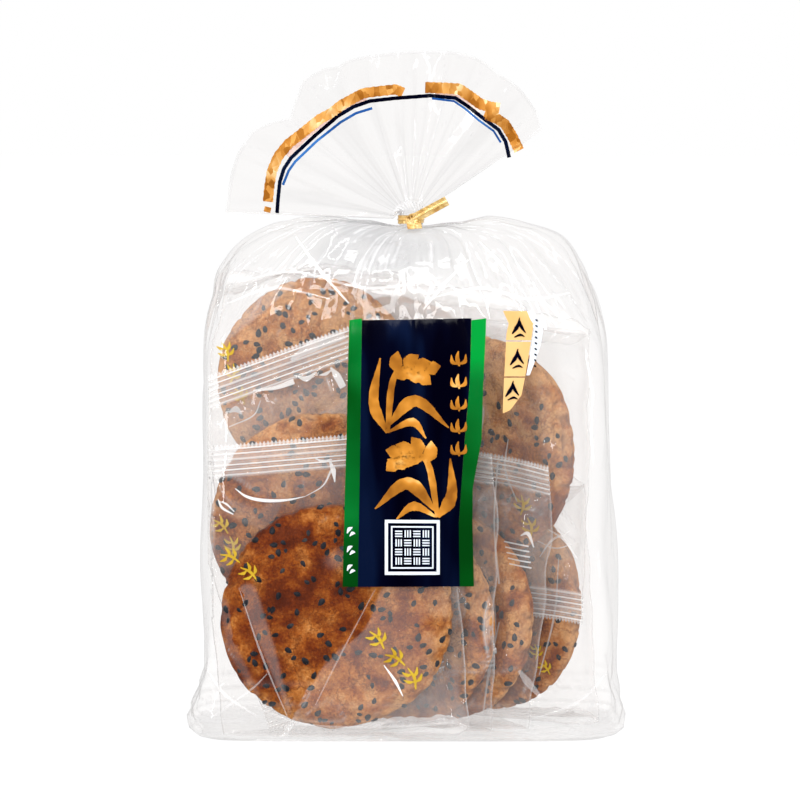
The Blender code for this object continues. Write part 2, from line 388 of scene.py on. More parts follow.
def cracker_form(name, half_sizes, half_thickness, toast_and_light_shift, pale_and_shade_turn, pale_and_shade_side, seed):
    deselect_all()
    bpy.ops.mesh.primitive_uv_sphere_add(segments=CRACKER_SEGMENTS, ring_count=CRACKER_RINGS, radius=1.0)
    piece = name_piece(bpy.context.object, "cracker_" + name)
    ball = points_of(piece)
    around = np.arctan2(ball[:, 1], ball[:, 0])
    down_share = np.arccos(np.clip(ball[:, 2], -1.0, 1.0)) / math.pi
    out, up = disc_profile(down_share, half_sizes[0] * MM, half_thickness * MM)
    rim_spot = np.stack([np.cos(around), np.sin(around), np.zeros_like(around)], axis=1)
    outline = 1.0 + 0.016 * noise_at(rim_spot, 0.7, seed) + 0.006 * noise_at(rim_spot, 0.22, seed + 3)
    x = out * np.cos(around) * outline
    y = out * np.sin(around) * outline * half_sizes[1] / half_sizes[0]
    flat = np.stack([x, y, up], axis=1)

    distance_share = out / (half_sizes[0] * MM)
    side = np.tanh(up / (0.25 * half_thickness * MM))
    on_rim = smooth_step(distance_share, 0.86, 0.98)
    swell = np.exp(-((distance_share - 0.84) / 0.09) ** 2)
    warp = noise_at(flat, 0.030, seed + 5)
    blister = np.clip(noise_at(flat, 0.0085, seed + 7) + 0.1, 0.0, 1.0)
    fold = creases(flat * np.array([1.0, 1.0, 0.4]), 0.0115, seed + 9)
    wrinkle = creases(flat, 0.0034, seed + 11)
    height = side * (RIM_SWELL * swell * (1.0 + noise_at(rim_spot, 0.5, seed + 13)))
    height += FACE_WARP * warp * (1.0 - 0.5 * on_rim)
    height += side * (BLISTER * (2.0 * blister + fold - 0.5) + WRINKLE * wrinkle) * (1.0 - 0.6 * on_rim)
    ring_spot = rim_spot * np.array([0.020, 0.020, 1.0]) + np.stack([out, up, out], axis=1)
    ring_wrinkle = creases(ring_spot, 0.0034, seed + 25)
    near_rim = smooth_step(distance_share, 0.66, 0.88)
    height += side * RIM_WRINKLE * (ring_wrinkle - 0.4) * near_rim * (1.0 - 0.5 * on_rim)

    crack_spot = flat * np.array([1.0, 1.0, 0.28])
    crack = 1.0 - np.clip(creases(crack_spot, 0.0072, seed + 15) * 3.6, 0.0, 1.0)
    seam = np.exp(-(up / (0.13 * half_thickness * MM)) ** 2) * smooth_step(distance_share, 0.9, 1.0)
    dent = on_rim * (crack * 0.9 + seam * (0.45 + 0.4 * noise_at(rim_spot, 0.12, seed + 17)))
    inward = 1.0 - RIM_CRACK * dent / (half_sizes[0] * MM)
    puff = 1.0 + 0.012 * on_rim * noise_at(crack_spot, 0.006, seed + 19)
    flat[:, 0] *= inward * puff
    flat[:, 1] *= inward * puff
    flat[:, 2] += height
    move_points(piece, flat)

    middle_dark = 1.0 - smooth_step(distance_share, 0.35, 0.95)
    # painted light: the shift per cracker is partly its own toast and partly painted light, the high crackers made
    # paler as if lit more from above
    toast_and_painted_light = 0.48 + toast_and_light_shift + 0.26 * noise_at(flat, 0.016, seed + 21) + 0.26 * noise_at(flat, 0.006, seed + 23)
    toast_and_painted_light += 0.12 * middle_dark - 0.16 * on_rim + 0.18 * (blister - 0.3) - 0.10 * fold
    # painted shade: one side is made paler and the other darker, partly uneven toast and partly painted shade
    pale_and_shade_turn = math.radians(pale_and_shade_turn)
    toast_and_painted_light -= pale_and_shade_side * (x * math.cos(pale_and_shade_turn) + y * math.sin(pale_and_shade_turn)) / (half_sizes[0] * MM)
    store_value(piece, "toast_and_painted_light", np.clip(toast_and_painted_light, 0.0, 1.0))
    cracked = dent * 0.9 + 0.55 * (1.0 - on_rim) * (1.0 - np.clip(fold * 6.0, 0.0, 1.0))
    cracked += 0.55 * near_rim * (1.0 - np.clip(ring_wrinkle * 4.0, 0.0, 1.0))
    store_value(piece, "crack", np.clip(cracked, 0.0, 1.0))
    shade_smooth(piece)
    return piece


# %% [markdown]
# ## Toasted dough
# The dough is tan where it stayed dry and a deep glassy amber where the soy glaze soaked in,
# with dark red-brown lines in the cracks. The form has already stored how toasted each spot is,
# with painted light mixed in: the high crackers are paler as if lit more from above, and one
# side of each is paler than the other, partly uneven toast and partly painted shade. The
# material adds finer mottling, grain and a soft glaze.

# %% Toasted dough material
DOUGH_STOPS = [
    (0.00, (0.62, 0.31, 0.115)),
    (0.25, (0.46, 0.170, 0.036)),
    (0.50, (0.28, 0.070, 0.0065)),
    (0.75, (0.150, 0.025, 0.0016)),
    (1.00, (0.070, 0.010, 0.0012)),
]

dough, tree = new_material("toasted_dough")
spot = add_node(tree, "ShaderNodeTexCoord").outputs["Object"]
toast_and_light_value = add_node(tree, "ShaderNodeAttribute", {"attribute_name": "toast_and_painted_light"}).outputs["Fac"]
crack_value = add_node(tree, "ShaderNodeAttribute", {"attribute_name": "crack"}).outputs["Fac"]
mottle = noise_node(tree, spot, 150.0, 6.0, 0.68)
speck = noise_node(tree, spot, 1000.0, 4.0, 0.7)
level = math_node(tree, "ADD", toast_and_light_value, math_node(tree, "MULTIPLY", math_node(tree, "SUBTRACT", mottle, 0.5), 1.25))
level = math_node(tree, "ADD", level, math_node(tree, "MULTIPLY", math_node(tree, "SUBTRACT", speck, 0.5), 0.75))
soaked = noise_node(tree, spot, 62.0, 3.0, 0.5)
soaked = add_node(tree, "ShaderNodeMapRange", i0=soaked, i1=0.53, i2=0.58, i3=0.0, i4=0.20).outputs[0]
level = math_node(tree, "ADD", level, soaked, clamp=True)
dough_colour = colour_ramp(tree, level, DOUGH_STOPS)


def vein_lines(scale, sharpness, strength):
    """Thin lines where smooth noise crosses its middle."""
    wander = noise_node(tree, spot, scale, 5.0, 0.62)
    off_line = math_node(tree, "ABSOLUTE", math_node(tree, "SUBTRACT", wander, 0.5))
    line = math_node(tree, "SUBTRACT", 1.0, math_node(tree, "MULTIPLY", off_line, sharpness), clamp=True)
    return math_node(tree, "MULTIPLY", line, strength)


vein = math_node(tree, "MAXIMUM", vein_lines(85.0, 50.0, 0.80), vein_lines(210.0, 34.0, 0.45))
vein = math_node(tree, "MAXIMUM", vein, vein_lines(480.0, 20.0, 0.30))
dark_line = math_node(tree, "MAXIMUM", vein, crack_value)
dough_colour = mix_colour(tree, math_node(tree, "MULTIPLY", dark_line, 0.80), dough_colour, (0.075, 0.014, 0.004))
grain = noise_node(tree, spot, 700.0, 6.0, 0.7)
relief = math_node(tree, "SUBTRACT", grain, math_node(tree, "MULTIPLY", dark_line, 0.6))
dough_bump = add_node(tree, "ShaderNodeBump", Strength=0.8, Distance=0.0007, Height=relief)
gloss = add_node(tree, "ShaderNodeMapRange", i0=level, i1=0.2, i2=0.9, i3=0.62, i4=0.34)
dough_shader = add_node(
    tree, "ShaderNodeBsdfPrincipled", Base_Color=dough_colour, Roughness=gloss.outputs[0],
    Normal=dough_bump.outputs["Normal"],
)
dough_shader.inputs["Specular IOR Level"].default_value = 0.06
finish_material(tree, dough_shader.outputs[0])

# %% Make the crackers
cracker_seed = 11.0
crackers = []
for name, middle, half_sizes, half_thickness, turn, lean, *toasting_and_painted_light in CRACKERS:
    piece = cracker_form(name, half_sizes, half_thickness, *toasting_and_painted_light, cracker_seed)
    piece.data.materials.append(dough)
    crackers.append(piece)
    cracker_seed += 41.0
print(len(crackers), "crackers of", len(crackers[0].data.polygons), "faces")

# %% [markdown]
# ## Sesame
# Black sesame is baked into both faces, lying flat and half sunk, now and then in pairs. One
# seed is modelled as a small teardrop with few faces. It is then copied onto each cracker
# where a ray straight down finds the surface, tilted to match it, and all the seeds end as
# one piece.

# %% One seed
SEED_LENGTH = 0.0033
SEED_WIDTH = 0.0025
SEED_HEIGHT = 0.0013

deselect_all()
bpy.ops.mesh.primitive_uv_sphere_add(segments=8, ring_count=5, radius=0.5)
seed_model = name_piece(bpy.context.object, "seed_model")
seed_points = points_of(seed_model)
taper = 1.0 - 0.55 * (seed_points[:, 0] + 0.5) ** 2
seed_points *= np.array([SEED_LENGTH, SEED_WIDTH, SEED_HEIGHT])
seed_points[:, 1] *= taper
seed_faces = [tuple(face.vertices) for face in seed_model.data.polygons]
bpy.data.objects.remove(seed_model)

# %% Scatter the seeds
SEEDS_PER_FACE = 136
CLOSEST_SEEDS = 0.0027

scatter = random.Random(5)


def seed_spots(radius):
    """Random places on a round face, no closer than two seeds can lie."""
    spots = []
    while len(spots) < SEEDS_PER_FACE:
        turn = scatter.uniform(0.0, math.tau)
        out = radius * math.sqrt(scatter.random()) * 0.975
        here = Vector((out * math.cos(turn), out * math.sin(turn)))
        if all((here - other).length > CLOSEST_SEEDS for other in spots):
            spots.append(here)
            if scatter.random() < 0.26:
                nudge = Matrix.Rotation(scatter.uniform(0.0, math.tau), 2) @ Vector((0.0029, 0.0))
                spots.append(here + nudge)
    return spots


def seeds_on(piece, radius):
    """Points of all the seeds on both faces of a cracker that still lies flat."""
    surface = BVHTree.FromObject(piece, bpy.context.evaluated_depsgraph_get())
    found = []
    for side in (1.0, -1.0):
        for here in seed_spots(radius):
            hit, normal, _, _ = surface.ray_cast(Vector((here.x, here.y, 0.02 * side)), Vector((0.0, 0.0, -side)))
            if hit is None or normal.z * side < 0.3:
                continue
            turned = normal.to_track_quat("Z", "Y").to_matrix()
            turned = turned @ Matrix.Rotation(scatter.uniform(0.0, math.tau), 3, "Z")
            size = scatter.uniform(0.80, 1.18)
            sunk = hit + normal * (SEED_HEIGHT * scatter.uniform(-0.26, 0.0))
            found.append(size * seed_points @ np.array(turned).T + np.array(sunk))
    return found


all_seeds = []
for piece, (name, middle, half_sizes, half_thickness, turn, lean, *_) in zip(crackers, CRACKERS):
    place = np.array(standing_place(middle, turn, lean))
    for points in seeds_on(piece, half_sizes[0] * MM):
        all_seeds.append(points @ place[:3, :3].T + place[:3, 3])
    piece.data.transform(Matrix(place))

seed_mesh = bpy.data.meshes.new("sesame_seeds")
faces = []
for index in range(len(all_seeds)):
    first = index * len(seed_points)
    faces.extend(tuple(first + corner for corner in face) for face in seed_faces)
seed_mesh.from_pydata(np.concatenate(all_seeds).tolist(), [], faces)
sesame = bpy.data.objects.new("sesame_seeds", seed_mesh)
scene.collection.objects.link(sesame)
shade_smooth(sesame)
print(len(all_seeds), "seeds,", len(faces), "faces")

# %% Sesame material
seed_paint, tree = new_material("black_sesame")
spot = add_node(tree, "ShaderNodeTexCoord").outputs["Object"]
fleck = noise_node(tree, spot, 800.0, 3.0)
tint = noise_node(tree, spot, 260.0, 1.0)
seed_colour = colour_ramp(tree, tint, [(0.35, (0.004, 0.005, 0.008)), (0.6, (0.014, 0.015, 0.020)), (0.8, (0.050, 0.044, 0.040))])
seed_bump = add_node(tree, "ShaderNodeBump", Strength=0.4, Distance=0.0003, Height=fleck)
seed_shader = add_node(tree, "ShaderNodeBsdfPrincipled", Base_Color=seed_colour, Roughness=0.48, Normal=seed_bump.outputs["Normal"])
seed_shader.inputs["Specular IOR Level"].default_value = 0.15
finish_material(tree, seed_shader.outputs[0])
sesame.data.materials.append(seed_paint)

# %% [markdown]
# ## Clear film
# Film is much thinner than anything else here, so it is one sheet of faces with no wall. Its
# material mixes three things. Most light goes straight through. A little is scattered, more
# where the film stands off the dough and along creases, and that share is stored on the
# points as haze. Along creases the milk is paler, partly the whitening of bent film and partly
# a painted highlight for the glints that bends catch. The rest is mirrored, hardly any face on
# and nearly all at a grazing view.


# %% Film material
MIRROR_FACE_ON = 0.015


def film_material(name, see_through, haze_grey, crease_milk_and_glint_grey, roughness, ripple_scale, ripple_height, edge_mirror):
    material, tree = new_material(name)
    spot = add_node(tree, "ShaderNodeTexCoord").outputs["Object"]
    broad = noise_node(tree, spot, ripple_scale, 2.0, 0.4)
    sharp = math_node(tree, "ABSOLUTE", math_node(tree, "SUBTRACT", noise_node(tree, spot, ripple_scale * 2.3, 1.0), 0.5))
    ripple = math_node(tree, "ADD", broad, math_node(tree, "MULTIPLY", sharp, 1.5))
    bump = add_node(tree, "ShaderNodeBump", Strength=1.0, Distance=ripple_height, Height=ripple).outputs["Normal"]
    facing = add_node(tree, "ShaderNodeLayerWeight", Blend=0.5, Normal=bump).outputs["Facing"]
    grazing = math_node(tree, "POWER", facing, 4.0)
    mirrored = math_node(tree, "ADD", math_node(tree, "MULTIPLY", grazing, edge_mirror), MIRROR_FACE_ON, clamp=True)
    haze = add_node(tree, "ShaderNodeAttribute", {"attribute_name": "haze"}).outputs["Fac"]
    crease = add_node(tree, "ShaderNodeAttribute", {"attribute_name": "crease"}).outputs["Fac"]
    clear = add_node(tree, "ShaderNodeBsdfTransparent", Color=see_through)
    # painted highlight: creases take a paler milk, partly the whitening of bent film and partly a painted glint
    milk_and_glint_colour = mix_colour(tree, crease, haze_grey, crease_milk_and_glint_grey)
    milk = add_node(tree, "ShaderNodeBsdfDiffuse", Color=milk_and_glint_colour)
    gloss = add_node(tree, "ShaderNodeBsdfGlossy", Color=(0.96, 0.96, 0.96), Roughness=roughness, Normal=bump)
    sheet = add_node(tree, "ShaderNodeMixShader", i0=haze, i1=clear.outputs[0], i2=milk.outputs[0])
    film = add_node(tree, "ShaderNodeMixShader", i0=mirrored, i1=sheet.outputs[0], i2=gloss.outputs[0])
    finish_material(tree, film.outputs[0])
    return material


def sheet_creases(points, columns, rows, sharpest):
    """How sharply a grid of film bends at each point, from 0 to 1."""
    net = points.reshape(rows + 1, columns + 1, 3)
    bend = np.zeros((rows + 1, columns + 1, 3))
    bend[1:-1] += net[1:-1] - (net[2:] + net[:-2]) / 2.0
    bend[:, 1:-1] += net[:, 1:-1] - (net[:, 2:] + net[:, :-2]) / 2.0
    seam = net[:, 0] - (net[:, 1] + net[:, -2]) / 2.0
    bend[:, 0] += seam
    bend[:, -1] += seam
    return np.clip(np.linalg.norm(bend, axis=2) / sharpest, 0.0, 1.0).ravel()


def grid_order(piece):
    """Row by row order of a grid's points, taken before they are moved."""
    flat = points_of(piece)
    return np.lexsort((np.round(flat[:, 0], 5), np.round(flat[:, 1], 5)))


def film_grid(name, columns, rows, shape, crease_haze_and_glint, sharpest):
    """A grid moved to shape(u, v), which also gives its haze; creases are measured and stored."""
    deselect_all()
    bpy.ops.mesh.primitive_grid_add(x_subdivisions=columns, y_subdivisions=rows, size=2.0)
    piece = name_piece(bpy.context.object, name)
    order = grid_order(piece)
    flat = points_of(piece)[order]
    points, haze = shape((flat[:, 0] + 1.0) / 2.0, (flat[:, 1] + 1.0) / 2.0)
    crease = sheet_creases(points, columns, rows, sharpest)
    placed = np.empty_like(points)
    placed[order] = points
    move_points(piece, placed)
    # painted highlight: sharp bends get more milk, partly the whitening of bent film and partly a painted glint
    haze_and_crease_glint = np.clip(haze + crease_haze_and_glint * smooth_step(crease, 0.22, 1.0), 0.0, 0.95)
    for title, values in (("crease", crease), ("haze", haze_and_crease_glint)):
        stored = np.empty(len(values))
        stored[order] = values
        store_value(piece, title, stored)
    return piece


# %% Haze of a soft fold
def fold_cover(x, z, folds):
    """How hazy broad soft folds make each place; x, z and the folds are in mm."""
    haze = np.zeros_like(x)
    for corners, widths, strength in folds:
        corners = np.array(corners, dtype=float)
        for start, end, wide_start, wide_end in zip(corners[:-1], corners[1:], widths[:-1], widths[1:]):
            run = end - start
            share = np.clip(((x - start[0]) * run[0] + (z - start[1]) * run[1]) / (run @ run), 0.0, 1.0)
            off = np.hypot(x - start[0] - share * run[0], z - start[1] - share * run[1])
            half = (wide_start + share * (wide_end - wide_start)) / 2.0
            haze = np.maximum(haze, strength * smooth_step(half - off, -0.8, 0.7))
    return haze


# %% [markdown]
# ## The shape of the bag
# The bag's section is a soft-cornered rectangle on the flat base, and it grows rounder and
# thinner towards the gathered neck. These are the sections of the solid model, repeated
# here, because the film follows it. They are needed now, as the wrappers have to stay inside.

# %% Sections of the bag
# height, half width, half depth, squareness, lean and shoulder lift, in mm
BAG_SECTIONS = np.array([
    (0.0, 77.2, 42.0, 7.0, -2.4, 0.0),
    (3.0, 81.0, 44.2, 7.0, -2.6, 0.0),
    (8.0, 81.8, 45.5, 7.0, -2.6, 0.0),
    (14.0, 80.4, 44.9, 7.0, -2.0, 0.0),
    (22.0, 78.6, 44.0, 7.5, -0.8, 0.0),
    (62.7, 78.0, 43.8, 7.5, -0.7, 0.0),
    (103.3, 77.4, 43.1, 7.5, -1.2, 0.0),
    (144.0, 76.4, 42.0, 7.5, -2.1, 0.0),
    (155.0, 74.6, 37.0, 6.5, -2.6, 0.0),
    (166.5, 72.0, 30.0, 6.0, -3.6, 0.4),
    (175.0, 69.5, 24.0, 5.2, -4.2, 1.0),
    (181.0, 66.0, 19.0, 4.6, -3.4, 1.8),
    (186.0, 60.5, 14.5, 4.0, -2.0, 2.8),
    (188.5, 54.0, 11.8, 3.2, -1.8, 3.6),
    (190.2, 44.0, 9.8, 2.6, -1.0, 4.4),
    (191.2, 30.0, 8.0, 2.3, -0.6, 4.2),
    (191.9, 15.0, 6.4, 2.0, 0.0, 2.0),
    (192.8, 4.3, 4.3, 2.0, 0.0, 0.0),
])
EAVE_HEIGHT = 0.144
RIDGE_HEIGHT = 0.1928
# the roof film wavers inwards, so what lies under it keeps this much further away
ROOF_GAP = 0.0022


def section_at(heights):
    """Half width, half depth, squareness and lean of the bag at these heights."""
    tall = BAG_SECTIONS[:, 0] * MM
    half_width = np.interp(heights, tall, BAG_SECTIONS[:, 1] * MM)
    half_depth = np.interp(heights, tall, BAG_SECTIONS[:, 2] * MM)
    squareness = np.interp(heights, tall, BAG_SECTIONS[:, 3])
    lean = np.interp(heights, tall, BAG_SECTIONS[:, 4] * MM)
    return half_width, half_depth, squareness, lean


def keep_inside(points, gap, floor_gap):
    """Points pressed flat against the inside of the bag where they would come through it."""
    kept = points.copy()
    gap = gap + ROOF_GAP * smooth_step(kept[:, 2], 0.148, 0.158)
    crumple = noise_at(kept * np.array([1.0, 1.0, 0.3]), 0.020, 3.0)
    kept[:, 2] = np.clip(kept[:, 2], floor_gap, 0.175 + 0.006 * crumple)
    half_width, half_depth, squareness, lean = section_at(kept[:, 2])
    wide = np.maximum(half_width - gap, 0.002)
    deep = np.maximum(half_depth - gap, 0.002)
    across = np.clip((kept[:, 0] - lean) / wide, -0.995, 0.995)
    limit = deep * (1.0 - np.abs(across) ** squareness) ** (1.0 / squareness)
    kept[:, 0] = across * wide + lean
    kept[:, 1] = np.clip(kept[:, 1], -limit, limit)
    return kept


# %% [markdown]
# ## The wrappers
# Each cracker sits in a pillow of film: a flat tube of film crimped shut at both ends. Over
# the cracker the film partly clings and partly stands off in slack domes. Past the rim it
# slopes like a tent to the crimp, where six pressed ridges and a zigzag cut end it. The form
# is one grid that runs round the tube. Rays straight down find the cracker's real surface,
# so the film lies on it, and the ends are then folded or turned, as they are in the full bag.

# %% Sizes of a wrapper
WRAPPER_REACH = 0.0672
CRIMP_HEIGHT = 0.0110
CRIMP_RIDGES = 6
CRIMP_ROWS = 24
MIDDLE_ROWS = 128
SHEET_COLUMNS = 124
WRAPPER_HALF_WIDTH = 0.0468
SIDE_RUN = 0.0085
END_RUN = 0.0150
FILM_GAP = 0.0008
TOOTH_HEIGHT = 0.0011
SLACK = 0.0024
BACK_VEIL = 0.4
EDGE_WAVE = 0.0016
EDGE_WAVE_LENGTH = 0.013

# cracker's name, spin, shift across and along the tube in mm, fold of the top and of the
# bottom end in degrees, side on which the film stands off as a direction in degrees and how
# far from the middle in mm, how milky it is there, and how milky it is all over
WRAPPERS = {
    "front": (5.0, 0.0, 0.0, 0.0, 88.0, -42.0, 9.0, 0.14, 0.0),
    "middle_left": (19.5, 0.0, 0.0, 4.0, 0.0, 28.0, -8.0, 0.13, 0.01),
    "top_left": (12.0, 0.0, 0.0, 92.0, 30.0, -60.0, 10.0, 0.12, 0.10),
    "top_back": (-8.0, 0.0, 0.0, 95.0, 40.0, 80.0, -30.0, 0.16, 0.42),
    "top_right": (-3.0, 2.5, 4.0, 95.0, 0.0, 60.0, -8.0, 0.10, 0.07),
    "low_right": (4.0, 0.0, 0.0, 100.0, 90.0, 120.0, -6.0, 0.10, 0.06),
    "low_middle": (-8.0, -1.5, 0.0, -18.0, 95.0, 100.0, -20.0, 0.08, 0.05),
    "low_hidden": (-2.0, -6.0, 0.0, -10.0, 92.0, 100.0, -25.0, 0.08, 0.06),
}


# broad folds in the front film of some wrappers: corners as places across and up in the bag in
# mm, widths in mm and how hazy they are
SOFT_FOLDS = {
    "front": [
        ([(-61.4, 55.9), (-53.6, 35.0), (-45.7, 10.6)], [7.0, 4.6, 0.8], 0.10),
        ([(-70.5, 52.0), (-67.0, 34.0), (-58.0, 18.0)], [3.0, 4.0, 1.5], 0.06),
    ],
    "middle_left": [([(-68.0, 87.0), (-56.0, 82.0), (-50.0, 90.0)], [6.0, 7.0, 4.0], 0.10)],
    "top_left": [([(-72.0, 149.0), (-58.0, 163.0), (-46.0, 172.0)], [3.0, 8.0, 5.0], 0.22)],
    "top_right": [([(33.4, 140.0), (31.0, 128.0), (33.8, 118.0)], [1.0, 2.6, 1.0], 0.20)],
    "low_middle": [([(36.5, 100.0), (44.0, 96.0), (50.0, 86.0)], [2.0, 5.0, 2.0], 0.16)],
}


# %% One wrapper
def flat_place(across, along, name, settings):
    """Places across and up in the bag, in mm, of points on the flat wrapper."""
    middle, _, _, turn, lean = next(row[1:6] for row in CRACKERS if row[0] == name)
    spin = math.radians(settings[0])
    x, z = across / MM + settings[1], along / MM + settings[2]
    turned_x = x * math.cos(spin) - z * math.sin(spin)
    turned_z = x * math.sin(spin) + z * math.cos(spin)
    return middle[0] + turned_x * math.cos(math.radians(turn)), middle[2] + turned_z * math.cos(math.radians(lean))


def wrapper_rows():
    """Places of the rows along the tube, close together in the crimps."""
    start = WRAPPER_REACH - CRIMP_HEIGHT
    crimp = np.linspace(start, WRAPPER_REACH, CRIMP_ROWS + 1)
    middle = np.linspace(-start, start, MIDDLE_ROWS + 1)
    return np.concatenate((-crimp[::-1], middle[1:-1], crimp))


def fold_ends(points, line, degrees):
    """Turns what lies beyond a line across the tube backwards about that line."""
    sign = math.copysign(1.0, line)
    beyond = np.maximum(points[:, 1] * sign - abs(line), 0.0)
    bent = math.radians(degrees) * smooth_step(beyond, 0.0, 0.004)
    folded = points.copy()
    over = beyond > 0.0
    rise = points[:, 2]
    if degrees > 50.0:
        folded[:, 0] *= 1.0 - 0.5 * smooth_step(beyond, 0.0, 0.022)
    folded[over, 1] = (sign * (abs(line) + beyond * np.cos(bent) + rise * np.sin(bent)))[over]
    folded[over, 2] = (rise * np.cos(bent) - beyond * np.sin(bent))[over]
    return folded


def spread_highest(heights):
    """Each height on a grid raised to the highest of its neighbours, so film spans small dents."""
    padded = np.pad(heights, 1, mode="edge")
    sideways = np.maximum(np.maximum(padded[:, :-2], padded[:, 2:]), padded[:, 1:-1])
    return np.maximum(np.maximum(sideways[:-2], sideways[2:]), sideways[1:-1])


def soften(heights, rounds):
    """Heights on a grid evened out with their neighbours."""
    for _ in range(rounds):
        padded = np.pad(heights, 1, mode="edge")
        heights = (padded[:-2, 1:-1] + padded[2:, 1:-1] + padded[1:-1, :-2] + padded[1:-1, 2:]) / 4.0
    return heights


def tube_half_widths(across, along, seed):
    """Half width of the flattened tube at each place; its edges waver a little."""
    edge_spots = np.stack([np.sign(across), along / EDGE_WAVE_LENGTH, np.zeros_like(along)], axis=-1)
    wave = noise_at(edge_spots.reshape(-1, 3), 1.0, seed).reshape(along.shape)
    wave *= smooth_step(np.abs(along), WRAPPER_REACH - CRIMP_HEIGHT, 0.046)
    return WRAPPER_HALF_WIDTH - 0.0010 * smooth_step(np.abs(along), 0.040, 0.058) + EDGE_WAVE * wave


def wrapper_sheet(side, across, along, tube_half, surface, half_thickness, slack, seed):
    """Heights and haze of one side of the pillow on a grid of rows."""
    slack_turn, slack_start, milk, veil = slack
    x = across * tube_half
    crimp_start = WRAPPER_REACH - CRIMP_HEIGHT
    to_side = tube_half - np.abs(x)
    to_end = np.maximum(crimp_start - np.abs(along), 0.0)
    side_slope = np.clip(to_side / SIDE_RUN, 0.0, 1.0) ** 1.6
    end_slope = np.clip(to_end / END_RUN, 0.0, 1.0) ** 0.8
    tent = half_thickness * np.minimum(side_slope, end_slope)
    spots = np.stack([x, along, np.full_like(x, 0.01 * side)], axis=-1).reshape(-1, 3)
    dough_height = np.zeros(len(spots))
    for index, here in enumerate(spots):
        hit = surface.ray_cast(Vector((here[0], here[1], 0.03 * side)), Vector((0.0, 0.0, -side)))[0]
        if hit is not None:
            dough_height[index] = max(hit.z * side, 0.0)
    dough_height = dough_height.reshape(x.shape)
    over_dough = dough_height + FILM_GAP * (dough_height > 0.0)
    height = soften(spread_highest(np.maximum(over_dough, tent)), 8)
    height = np.maximum(height, dough_height + 0.5 * FILM_GAP)

    away = (x * math.cos(slack_turn) + along * math.sin(slack_turn)) - slack_start
    edge = away + 0.005 * noise_at(spots, 0.022, seed + 1).reshape(x.shape)
    push = smooth_step(edge, -0.001, 0.002)
    swell = noise_at(spots, 0.026, seed + 2).reshape(x.shape)
    facet = creases(spots, 0.017, seed + 3).reshape(x.shape)
    lift = np.clip(0.72 * push + 0.75 * swell - 0.20, 0.0, 1.3)
    fade = np.clip(np.minimum(to_side, to_end) / 0.006, 0.0, 1.0)
    gap = SLACK * lift * (0.35 + 0.65 * facet) * fade
    standing = smooth_step(gap, 0.00008, 0.00040)
    off_dough = smooth_step(dough_height, 0.0015, 0.0002)
    veil *= 1.0 if side > 0.0 else BACK_VEIL
    haze = veil + milk * np.maximum(standing * (0.75 + 0.25 * swell), 0.25 * off_dough)

    pleat_spots = spots * np.array([1.0, 0.16, 1.0])
    pleat = creases(pleat_spots, 0.0062, seed + 4).reshape(x.shape)
    near_end = smooth_step(to_end, 0.022, 0.003) * np.clip(to_end / 0.002, 0.0, 1.0)
    height = height + gap + 0.0010 * (pleat - 0.35) * near_end * fade
    return x, height * np.clip(to_side / 0.0012, 0.0, 1.0), haze


